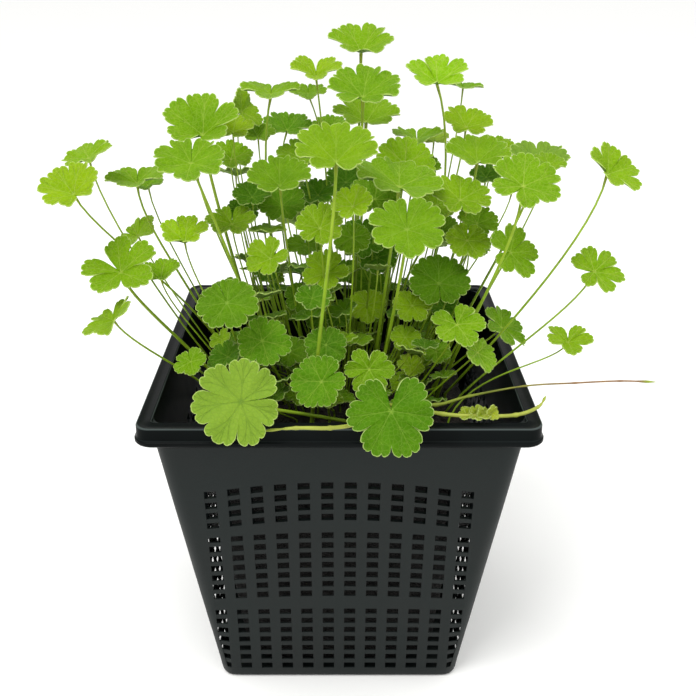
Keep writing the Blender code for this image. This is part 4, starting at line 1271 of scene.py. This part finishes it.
@dataclass
class Foliage:
    """All leaves, each grown one in the place of its solid, and young ones between them.

    Spaces, heights and spans are in mm and leans in degrees. fresh_share is the share of the
    seedlings that are bright. blades, lines and skins hold what is in place and made already.
    """

    grower: LeafGrower
    young: LeafGrower
    crease: float = 60.0
    young_space: float = 0.5
    young_to_wall: float = 0.8
    young_search: Search = Search(0.7, 0.9, 4, (0.0, 5.0), (0.26, 0.4), 26)
    seed: int = 11
    seedlings: int = 70
    seedling_rise: tuple[float, float] = (8, 44)
    ground_cover: int = 30
    cover_rise: tuple[float, float] = (5, 15)
    seedling_span: tuple[float, float] = (8, 14)
    seedling_lean: tuple[float, float] = (5, 35)
    seedling_reach: float = 34.0
    fresh_share: float = 0.4
    blades: list[Blade] = field(default_factory=list)
    lines: list[np.ndarray] = field(default_factory=list)
    skins: dict[str, Material] = field(default_factory=dict)

    def materials(self, tone: Tone) -> list[Material]:
        """Finishes of a leaf: its face, its underside and its stalk."""
        finishes = (BLADE_FINISHES[tone], UNDERSIDE_FINISH, STALK_FINISH)
        for finish in finishes:
            if finish.name not in self.skins:
                self.skins[finish.name] = finish.build()
        return [self.skins[finish.name] for finish in finishes]

    def route(self, blade: Blade, crown: tuple[float, float] | None = None) -> Route:
        """Way of a grown leaf's stalk past all other blades."""
        return route_stalk(blade, [other for other in self.blades if other is not blade], self.lines, crown)

    def build(self) -> None:
        """Place all blades, lead their stalks and grow the leaves."""
        self.lines = [runner_line(*runner, 2) for runner in RUNNERS]
        self.blades = place_blades([*LEAVES, *(leaf for tuft in REAR_TUFTS for leaf in tuft.leaves)])
        for number, blade in enumerate(self.blades[: len(LEAVES)], 1):
            route = self.route(blade)
            self.lines.append(route.line(blade))
            skins = self.materials(blade.leaf.tone)
            stand_for(f"leaf_{number:02d}", self.grower.grow(blade, route), skins, self.crease)
        rest = iter(self.blades[len(LEAVES) :])
        # The stalks of a tuft start together, so they don't have to pass each other
        for number, tuft in enumerate(REAR_TUFTS, 1):
            grown = []
            mesh = self.grower.start()
            self.crown(mesh, tuft)
            for _ in tuft.leaves:
                blade = next(rest)
                route = self.route(blade, tuft.crown)
                grown.append(route.line(blade))
                join(mesh, self.grower.grow(blade, route))
            self.lines += grown
            stand_for(f"rear_tuft_{number}", mesh, self.materials(GRASS), self.crease)
        self.add_young()

    def add_young(self) -> None:
        """Fill the plant with young leaves: those of the reference view, then a low undergrowth."""
        tones = (FRESH, GRASS, DEEP, PALE, BRIGHT)
        materials = [material for tone in tones for material in self.materials(tone)]
        for number, leaves in enumerate((*YOUNG_LEAVES, *self.undergrowth()), 1):
            mesh = self.young.start()
            grown = 0
            for leaf in leaves:
                blade = place_blades([leaf], self.blades)[-1]
                space = min(blade.space_to(other) for other in self.blades)
                if space < self.young_space or not clear_of_basket(blade.samples, self.young_to_wall).all():
                    LOG.info("no space for the blade at %d, %d: %.1f", leaf.across, leaf.down, space)
                    continue
                route = route_stalk(blade, self.blades, self.lines, None, self.young_search)
                if route.room < 0:
                    LOG.info("no way for the stalk at %d, %d: %.1f", leaf.across, leaf.down, route.room)
                    continue
                self.blades.append(blade)
                self.lines.append(route.line(blade))
                join(mesh, self.young.grow(blade, route), 3 * tones.index(leaf.tone))
                grown += 1
            LOG.info("young leaves %d: %d of %d", number, grown, len(leaves))
            settle(f"fine_young_leaves_{number}", mesh, materials, self.crease)

    def undergrowth(self) -> list[list[Leaf]]:
        """Seedlings at random places, the last of them low over the soil, in two groups."""
        chance = np.random.default_rng(self.seed)
        leaves = []
        for number in range(self.seedlings + self.ground_cover):
            x, y = chance.uniform(-self.seedling_reach, self.seedling_reach, 2)
            rises = self.seedling_rise if number < self.seedlings else self.cover_rise
            lowest, highest = zip(rises, self.seedling_span, self.seedling_lean, (-180, 180))
            rise, span, lean, toward = chance.uniform(lowest, highest)
            across, down, back = seen_at(np.array((x, y, SOIL_TOP + rise)))
            tone = (DEEP, FRESH)[int(chance.random() < self.fresh_share)]
            leaves.append(Leaf(across, down, back, span, lean, toward, toward, 0.25, 0.05, 6, 0.22, tone))
        return [leaves[: len(leaves) // 2], leaves[len(leaves) // 2 :]]

    def crown(self, mesh: BMesh, tuft: Tuft) -> None:
        """Add a tuft's crown: a small knot that its stalks grow from."""
        place = Vector((*tuft.crown, SOIL_TOP + CROWN_RADIUS * CROWN_FLATNESS)) * MM
        shape = Matrix.Translation(place) @ Matrix.Diagonal((1, 1, CROWN_FLATNESS, 1))
        knot = bmesh.ops.create_icosphere(mesh, subdivisions=3, radius=CROWN_RADIUS * MM, matrix=shape)
        for face in {face for vert in knot["verts"] for face in vert.link_faces}:
            face.material_index = 2


@dataclass
class Runners:
    """Creeping stems with swollen joints and a pointed bud at the end, one of them with leaflets.

    Lengths are in mm. A runner thins between two shares of its way, and bud says how thick its last
    points are beside its thin end.
    """

    grower: LeafGrower
    radius: float = 0.54
    thin: float = 0.26
    thinning: tuple[float, float] = (0.75, 1.0)
    long_thinning: tuple[float, float] = (0.3, 0.55)
    bud: tuple[float, ...] = (0.9, 1.1, 1.4, 1.6, 1.4, 0.9, 0.3)
    joint_swell: float = 1.3
    foot_depth: float = 2.5
    steps: int = 10
    sides: int = 10
    crease: float = 60.0

    def build(self) -> None:
        """Draw the runners, with young leaflets on the one that lies along the rim."""
        finishes = (LEAFLET_FINISH, RUNNER_FINISH, LONG_RUNNER_FINISH)
        leaflet_skin, green, reddened = (finish.build() for finish in finishes)
        for number, runner in enumerate(RUNNERS, 1):
            line = runner_line(*runner, self.steps)
            line = np.concatenate((line[:1] - (0, 0, self.foot_depth), line))
            thinning = self.long_thinning if runner is LONG_RUNNER else self.thinning
            radii = np.interp(np.linspace(0, 1, len(line)), thinning, (self.radius, self.thin))
            radii[self.steps + 1 :: self.steps] *= self.joint_swell
            radii[-len(self.bud) :] = self.thin * np.array(self.bud)
            mesh = self.grower.start()
            sweep(mesh, line, radii, self.sides, 2)
            for leaflet in RIM_LEAFLETS if runner is RIM_RUNNER else ():
                self.grower.blade_sheet(mesh, Blade(leaflet, leaflet.back))
            skins = [leaflet_skin, leaflet_skin, reddened if runner is LONG_RUNNER else green]
            stand_for(f"runner_{number}", mesh, skins, self.crease)


@dataclass(frozen=True)
class HoleGroup:
    """A group of rows of holes in the basket's walls, by the heights of the holes' middles in mm."""

    lowest: float
    pitch: float
    rows: int


@dataclass
class Basket:
    """Square mesh basket: one moulding with a lattice in each wall, a slotted floor and a hollow lip.

    Lengths are in mm. The lattice is thin up to lattice_top and as thick as the wall from
    lattice_fade above it. The rows of holes sag to the sides by arch_drops at arch_heights, and
    the bars between the holes of a column are set back by bar_recess.
    """

    base_half: float = BASE_WIDTH / 2
    corner: float = 5.0
    foot: float = 1.3
    foot_angles: tuple[float, ...] = (0, 30, 60, 90)
    lattice: float = 0.35
    lattice_top: float = 63.0
    lattice_fade: float = 3.0
    column_pitch: float = 6.7
    columns: int = 12
    hole_width: float = 3.5
    hole_height: float = 2.35
    least_hole: float = 0.02
    bar_step: float = 0.15
    bar_recess: float = 0.12
    corner_rib: float = 1.2
    corner_lines: int = 7
    corner_points: int = 9
    groups: tuple[HoleGroup, ...] = (
        HoleGroup(5.4, 4.17, 7), HoleGroup(38.3, 3.97, 7), HoleGroup(69.2, 3.93, 4),
    )
    upper_lines: tuple[float, ...] = (84.0, 88.0, 92.0, 96.3, 101.6)
    arch_heights: tuple[float, ...] = (0.0, 30.4, 38.3, 62.1, 69.2, 81.0, 95.0)
    arch_drops: tuple[float, ...] = (0.0, 0.6, 1.6, 2.0, 3.7, 3.9, 0.0)
    floor_overlap: float = 0.3
    floor_slots: int = 6
    floor_slot: float = 3.2
    floor_rows: tuple[float, float] = (9.0, 29.0)
    floor_corner: float = 2.6
    crease: float = 32.0

    def half(self, height: np.ndarray) -> np.ndarray:
        """Half the width between the outer faces of the walls at a height."""
        return self.base_half + WALL_SLOPE * height

    def round_square(self, along: np.ndarray, half: np.ndarray, corner: np.ndarray) -> tuple:
        """Walk along the front side of a square with rounded corners.

        Args:
            along: distance from the side's middle, up to the middles of its corners.
            half: half the square's width.
            corner: the radius of its corners.

        Returns:
            x and y of each point, and x and y of the direction outwards there.
        """
        flat = half - corner
        angle = np.maximum(np.abs(along) - flat, 0) / corner
        sine, cosine = np.sin(angle) * np.sign(along), np.cos(angle)
        x = np.clip(along, -flat, flat) + corner * sine
        return x, -(flat + corner * cosine), sine, -cosine

    def rows(self) -> tuple[np.ndarray, np.ndarray, np.ndarray, set[int]]:
        """Lines of the wall sheet from the foot to the lip.

        Returns:
            Heights, insets from the wall's outer face, whether bars are recessed there, and the
            numbers of the bands between lines that hold holes.
        """
        angles = np.radians(self.foot_angles)
        heights = list(self.foot * (1 - np.cos(angles)))
        insets = list(self.foot * (1 - np.sin(angles)))
        recessed = [False] * len(heights)
        open_bands = set()
        for group in self.groups:
            for row in range(group.rows):
                middle = group.lowest + row * group.pitch
                open_bands.add(len(heights))
                heights += [middle - self.hole_height / 2, middle + self.hole_height / 2]
                insets += [0.0, 0.0]
                recessed += [row > 0, row < group.rows - 1]
        heights += self.upper_lines
        insets += [0.0] * len(self.upper_lines)
        recessed += [False] * len(self.upper_lines)
        return np.array(heights), np.array(insets), np.array(recessed), open_bands

    def around(self, column: np.ndarray, x: np.ndarray, half: np.ndarray, corner: np.ndarray) -> np.ndarray:
        """Spread the columns of the wall sheet over a side and its corners.

        Args:
            column: the number of each point's column.
            x: where its line of holes lies, or the nearest one for a column in a corner.
            half: half the basket's width at the point.
            corner: the radius of its corners there.

        Returns:
            The distance of each point from the side's middle, along the wall.
        """
        flat = half - corner
        limit = flat + corner * math.sin(math.pi / 4) - self.corner_rib
        x = np.clip(x, -limit, limit)
        over = np.maximum(np.abs(x) - flat, 0) / corner
        along = np.where(over > 0, np.sign(x) * (flat + corner * np.arcsin(np.minimum(over, 1))), x)
        past = np.maximum(self.corner_lines - column, column - (column.max() - self.corner_lines))
        share = np.clip(past / self.corner_lines, 0, 1)
        end = flat + corner * math.pi / 4
        return np.sign(along) * (np.abs(along) + (end - np.abs(along)) * share)

    def repeat_sides(self, mesh: BMesh) -> None:
        """Repeat one side of the basket on the other three and close the seams."""
        bmesh.ops.spin(
            mesh, geom=mesh.verts[:] + mesh.edges[:] + mesh.faces[:], axis=(0, 0, 1), cent=(0, 0, 0),
            angle=1.5 * math.pi, steps=3, use_duplicate=True,
        )
        bmesh.ops.remove_doubles(mesh, verts=mesh.verts[:], dist=SEAM * MM)

    def wall_sheet(self) -> BMesh:
        """Make the four walls and the foot as one open sheet with holes."""
        heights, insets, recessed, open_bands = self.rows()
        edge = self.hole_width / 2
        hole = np.array((-edge, self.bar_step - edge, edge - self.bar_step, edge))
        centres = (np.arange(self.columns) - (self.columns - 1) / 2) * self.column_pitch
        lines = np.concatenate([centre + hole for centre in centres])
        stepped = np.tile((False, True, True, False), self.columns)
        mesh = bmesh.new()
        sheet, column, row = lay_grid(mesh, len(lines) + 2 * self.corner_lines, len(heights))
        line = np.clip(column - self.corner_lines, 0, len(lines) - 1)
        drop = np.interp(heights[row], self.arch_heights, self.arch_drops)
        z = heights[row] - drop * np.minimum(np.abs(lines[line]) / centres[-1], 1) ** 2
        half, corner = self.half(z) - insets[row], self.corner - insets[row]
        along = self.around(column, lines[line], half, corner)
        x, y, out_x, out_y = self.round_square(along, half, corner)
        push = self.bar_recess * (stepped[line] & recessed[row])
        bend(sheet, np.stack((x - push * out_x, y - push * out_y, z), axis=-1))
        holes = []
        for face, numbers in cells(mesh, sheet):
            left = column[numbers].min() - self.corner_lines
            in_column = 0 <= left < len(lines) - 1 and left % len(hole) < len(hole) - 1
            if in_column and row[numbers].min() in open_bands and np.ptp(x[numbers]) > self.least_hole:
                holes.append(face)
        bmesh.ops.delete(mesh, geom=holes, context="FACES")
        self.repeat_sides(mesh)
        bmesh.ops.dissolve_degenerate(mesh, edges=mesh.edges[:], dist=SLIVER * MM)
        return mesh

    def ring(self, profile: tuple[tuple[float, ...], ...]) -> BMesh:
        """Sweep a closed profile around the basket.

        Args:
            profile: half width, corner radius and height of each point, in mm, and the share of painted
                highlight on it.

        Returns:
            The ring's mesh.
        """
        mesh = bmesh.new()
        layer = mesh.verts.layers.float.new("edge_highlight")
        loop = np.array((*profile, profile[0]))
        shares = np.concatenate(([0.0], np.linspace(0, 1, self.corner_points)))
        middle = len(shares)
        sheet, column, row = lay_grid(mesh, 2 * middle, len(loop))
        half, corner, height, edge_highlight = loop[row].T
        side = np.where(column < middle, -1.0, 1.0)
        step = np.where(column < middle, middle - 1 - column, column - middle)
        along = half - corner + shares[step] * corner * math.pi / 4
        x, y, _, _ = self.round_square(side * along * np.where(step > 0, 1, 0.5), half, corner)
        bend(sheet, np.stack((x, y, height), axis=-1))
        # Each point keeps its share of the painted highlight
        for vert, lighter in zip(sheet, edge_highlight):
            vert[layer] = lighter
        for face in mesh.faces:
            face.material_index = 1
        self.repeat_sides(mesh)
        bmesh.ops.recalc_face_normals(mesh, faces=mesh.faces[:])
        return mesh

    def lip(self) -> BMesh:
        """Make the lip: a flange around the mouth with a skirt that hangs from its edge.

        Its profile runs up the inner side from the seat on the wall, over the flange to the rim,
        down the skirt to its low edge, and back under the flange.
        """
        rim = RIM_WIDTH / 2
        low = HEIGHT - LIP_HEIGHT
        seat = low - 1.5
        under = HEIGHT - 1.7
        mouth = self.half(HEIGHT) - WALL
        lower_wall, upper_wall = self.half(seat), self.half(under)
        # The last number of each point is its painted highlight: pale lines along the mouth's edge, the rim's
        # top edge and the skirt's step
        return self.ring((
            (lower_wall - WALL - 0.1, 1.6, seat, 0.0),
            (mouth - 0.15, 1.4, HEIGHT - 0.6, 0.0),
            (mouth, 1.4, HEIGHT - 0.3, 1.0),
            (mouth + 0.3, 1.6, HEIGHT - 0.12, 0.0),
            (mouth + 1.6, 3.0, HEIGHT - 0.35, 0.0),
            (rim - 1.8, 3.6, HEIGHT - 0.45, 0.0),
            (rim - 1.05, 3.9, HEIGHT - 0.12, 0.0),
            (rim - 0.7, 4.0, HEIGHT - 0.15, 1.0),
            (rim - 0.5, 4.0, HEIGHT - 0.4, 0.7),
            (rim - 0.48, 4.0, HEIGHT - 0.75, 0.0),
            (rim - 0.45, 4.0, HEIGHT - 3.4, 0.0),
            (rim - 0.25, 4.3, HEIGHT - 3.8, 0.4),
            (rim + 0.15, 4.7, HEIGHT - 4.2, 0.0),
            (rim + 0.15, 4.7, HEIGHT - 5.0, 0.0),
            (rim - 0.1, 4.7, low + 0.5, 0.0),
            (rim - 0.6, 4.6, low + 0.1, 0.0),
            (rim - 1.2, 4.6, low - 0.1, 0.0),
            (rim - 1.7, 4.4, low + 0.2, 0.0),
            (rim - 1.8, 4.0, under, 0.0),
            (upper_wall + 0.1, 4.6, under, 0.0),
            (lower_wall + 0.1, 5.0, seat, 0.0),
        ))

    def floor(self) -> BMesh:
        """Make the floor: a plate with two rows of slots beside a closed middle strip."""
        border = self.base_half - self.foot + self.floor_overlap
        middles = (np.arange(self.floor_slots) - (self.floor_slots - 1) / 2) * self.column_pitch
        slot = np.array((-1, 1)) * self.floor_slot / 2
        x_lines = np.array([-border, *np.concatenate([middle + slot for middle in middles]), border])
        near, far = self.floor_rows
        y_lines = np.array((-border, -far, -near, near, far, border))
        mesh = bmesh.new()
        sheet, column, row = lay_grid(mesh, len(x_lines), len(y_lines))
        bend(sheet, np.stack((x_lines[column], y_lines[row], np.zeros(len(sheet))), axis=-1))
        slots = [
            face
            for face, numbers in cells(mesh, sheet)
            if column[numbers].min() % 2 == 1 and row[numbers].min() % 2 == 1
        ]
        bmesh.ops.delete(mesh, geom=slots, context="FACES")
        corners = [vert for vert in mesh.verts if abs(vert.co.x) + abs(vert.co.y) > (2 * border - 0.1) * MM]
        bmesh.ops.bevel(
            mesh, geom=corners, offset=self.floor_corner * MM, segments=3, profile=0.5, affect="VERTICES",
            material=-1,
        )
        bmesh.ops.recalc_face_normals(mesh, faces=mesh.faces[:])
        bmesh.ops.solidify(mesh, geom=mesh.faces[:], thickness=-WALL * MM)
        return mesh

    def thicken(self, inner: list[BMVert]) -> None:
        """Move the walls' inner face in, above the thin lattice, to the full wall's thickness."""
        fade = (self.lattice_top, self.lattice_top + self.lattice_fade)
        for vert in inner:
            height = vert.co.z / MM
            more = np.interp(height, fade, (0, WALL - self.lattice))
            vert.co.xy *= 1 - more / self.half(height)

    def build(self) -> None:
        """Join walls, lip and floor in one piece."""
        walls = self.wall_sheet()
        bmesh.ops.recalc_face_normals(walls, faces=walls.faces[:])
        # The walls widen upwards, so a sheet that faces outward looks down on the whole
        if sum(face.normal.z * face.calc_area() for face in walls.faces) > 0:
            bmesh.ops.reverse_faces(walls, faces=walls.faces[:])
        outer = set(walls.verts)
        bmesh.ops.solidify(walls, geom=walls.faces[:], thickness=self.lattice * MM)
        self.thicken([vert for vert in walls.verts if vert not in outer])
        walls.normal_update()
        # Painted shade: the walls' inner faces take the lip's near-black finish, so the inside looks darker
        # than the outside
        for face in walls.faces:
            middle = face.calc_center_median()
            face.material_index = int(face.normal.x * middle.x + face.normal.y * middle.y < 0)
        # The walls carry no painted highlight, but get the empty layer so that they join the lip's mesh
        walls.verts.layers.float.new("edge_highlight")
        for part in (self.lip(), self.floor()):
            join(walls, part)
        stand_for("basket", walls, [WALL_FINISH.build(), LIP_AND_INNER_SHADE_FINISH.build()], self.crease)


@dataclass
class RootBall:
    """Block of moist peat, rounder than the basket, with a crumbly top.

    Lengths are in mm. clods is how many lumps follow each other on a mm, roughness is the noise
    that shapes them, and a relief is that noise's gain, shift and upper limit.
    """

    base_half: float = 33.0
    top_half: float = 41.4
    low: float = 1.6
    shoulder: float = 5.0
    shoulder_inset: float = 6.0
    corner: float = 16.0
    cuts: int = 48
    clods: float = 0.22
    roughness: tuple[float, float, int] = (0.9, 2.1, 4)
    top_relief: tuple[float, float, float] = (0.9, -0.5, 0.6)
    side_relief: tuple[float, float, float] = (0.5, -0.6, 0.0)
    seed: int = 7
    crumbs: int = 420
    crumb_radius: tuple[float, float] = (0.5, 1.5)
    crumb_shape: tuple[float, float, float] = (1.0, 0.7, 0.55)
    crumb_sink: float = 0.1
    crease: float = 70.0

    def rounding(self, x: np.ndarray, y: np.ndarray, half: np.ndarray) -> np.ndarray:
        """Share by which a point of a square moves inward so that the square gets round corners."""
        major, minor = np.maximum(np.abs(x), np.abs(y)), np.minimum(np.abs(x), np.abs(y))
        slope = minor / np.maximum(major, 1e-9)
        flat = half - self.corner
        a = 1 + slope**2
        b = -2 * flat * (1 + slope)
        c = 2 * flat**2 - self.corner**2
        on_corner = (-b + np.sqrt(np.maximum(b**2 - 4 * a * c, 0))) / (2 * a)
        return np.where(slope * half > flat, np.minimum(on_corner / half, 1), 1.0)

    def build(self) -> None:
        """Shape the block from a finely cut cube and strew crumbs on its top."""
        mesh = bmesh.new()
        bmesh.ops.create_cube(mesh, size=2)
        bmesh.ops.subdivide_edges(mesh, edges=mesh.edges[:], cuts=self.cuts, use_grid_fill=True)
        x, y, z = np.array([vert.co for vert in mesh.verts]).T
        up = (z + 1) / 2
        rim = np.maximum(np.abs(x), np.abs(y))
        height = self.low + (SOIL_TOP - self.shoulder - self.low) * up
        half = self.base_half + (self.top_half - self.base_half) * up
        on_top = z > 0.999
        lift = np.clip((1 - rim) * half / self.shoulder_inset, 0, 1)
        height = np.where(on_top, height + self.shoulder * lift * (2 - lift), height)
        share = self.rounding(x, y, half)
        bend(mesh.verts, np.stack((x * half * share, y * half * share, height), axis=-1))
        mesh.normal_update()
        for vert, above in zip(mesh.verts, on_top):
            gain, shift, limit = self.top_relief if above else self.side_relief
            depth = gain * noise.fractal(vert.co / MM * self.clods, *self.roughness) + shift
            vert.co += vert.normal * min(depth, limit) * MM
        self.strew(mesh)
        stand_for("soil", mesh, [PEAT_FINISH.build()], self.crease)

    def strew(self, mesh: BMesh) -> None:
        """Strew crumbs of peat over the top of the block."""
        chance = np.random.default_rng(self.seed)
        reach = self.top_half - self.shoulder_inset
        for x, y, size, turn in zip(
            chance.uniform(-reach, reach, self.crumbs), chance.uniform(-reach, reach, self.crumbs),
            chance.uniform(*self.crumb_radius, self.crumbs), chance.uniform(0, math.tau, self.crumbs),
        ):
            place = Matrix.Translation(Vector((x, y, SOIL_TOP - self.crumb_sink)) * MM)
            shape = Matrix.Rotation(turn, 4, "Z") @ Matrix.Diagonal((*self.crumb_shape, 1))
            bmesh.ops.create_icosphere(mesh, subdivisions=1, radius=size * MM, matrix=place @ shape)


@dataclass(frozen=True)
class Lamp:
    """A square soft lamp that faces the plant: its place and side in mm, and its power in watts."""

    name: str
    place: tuple[float, float, float]
    size: float
    power: float
    aim: tuple[float, float, float] = (0, 0, 110)

    def hang(self) -> None:
        """Hang the lamp in its place."""
        data = bpy.data.lights.new(self.name, "AREA")
        data.size = self.size * MM
        data.energy = self.power
        lamp = bpy.data.objects.new(self.name, data)
        lamp.location = Vector(self.place) * MM
        lamp.rotation_euler = (Vector(self.aim) * MM - lamp.location).to_track_quat("-Z", "Y").to_euler()
        bpy.context.scene.collection.objects.link(lamp)


@dataclass
class Studio:
    """Camera, pale floor and soft light. Lengths are in mm."""

    floor_radius: float = 4000.0
    floor_colour: str = "#FCFCFA"
    floor_roughness: float = 0.9
    world_strength: float = 1.0
    lamps: tuple[Lamp, ...] = (
        Lamp("key", (-350, -450, 1200), 600, 9.0),
        Lamp("fill", (800, -300, 700), 800, 2.0),
    )

    def camera(self) -> None:
        """Set the camera where the reference view was taken from."""
        data = bpy.data.cameras.new("camera")
        data.sensor_width = SENSOR_WIDTH
        data.lens = FOCAL / FRAME_SIZE * SENSOR_WIDTH
        data.shift_x = (FRAME_SIZE / 2 - MIDDLE_COLUMN) / FRAME_SIZE
        data.clip_start = 0.01
        camera = bpy.data.objects.new("camera", data)
        camera.location = Vector(EYE) * MM
        camera.rotation_euler = (math.pi / 2 - EYE_PITCH, 0, 0)
        bpy.context.scene.collection.objects.link(camera)
        bpy.context.scene.camera = camera

    def floor(self) -> None:
        """Lay the pale floor."""
        mesh = bmesh.new()
        bmesh.ops.create_circle(mesh, cap_ends=True, segments=96, radius=self.floor_radius * MM)
        data = bpy.data.meshes.new("floor")
        mesh.to_mesh(data)
        mesh.free()
        material, _, shader = new_material("matt_white_card")
        shader.inputs["Base Color"].default_value = linear(self.floor_colour)
        shader.inputs["Roughness"].default_value = self.floor_roughness
        data.materials.append(material)
        floor = bpy.data.objects.new("floor", data)
        bpy.context.scene.collection.objects.link(floor)

    def build(self) -> None:
        """Set up the studio."""
        self.camera()
        self.floor()
        for lamp in self.lamps:
            lamp.hang()
        world = bpy.data.worlds.new("white_room")
        world.use_nodes = True
        back = world.node_tree.nodes["Background"]
        back.inputs["Color"].default_value = (1.0, 1.0, 1.0, 1.0)
        back.inputs["Strength"].default_value = self.world_strength
        bpy.context.scene.world = world
        bpy.context.scene.view_settings.view_transform = "Standard"


def main() -> None:
    """Build every piece and the studio around them."""
    logging.basicConfig(level=logging.INFO, format="%(message)s")
    Basket().build()
    RootBall().build()
    # Young leaves are small and many, so they have fewer points
    young = LeafGrower(
        rings=(0.0, 0.06, 0.2, 0.45, 0.7, 0.88, 0.96, 1.0), points_per_scallop=6, stalk_steps=9, stalk_sides=6
    )
    Runners(young).build()
    Foliage(LeafGrower(), young).build()
    Studio().build()


if __name__ == "__main__":
    main()
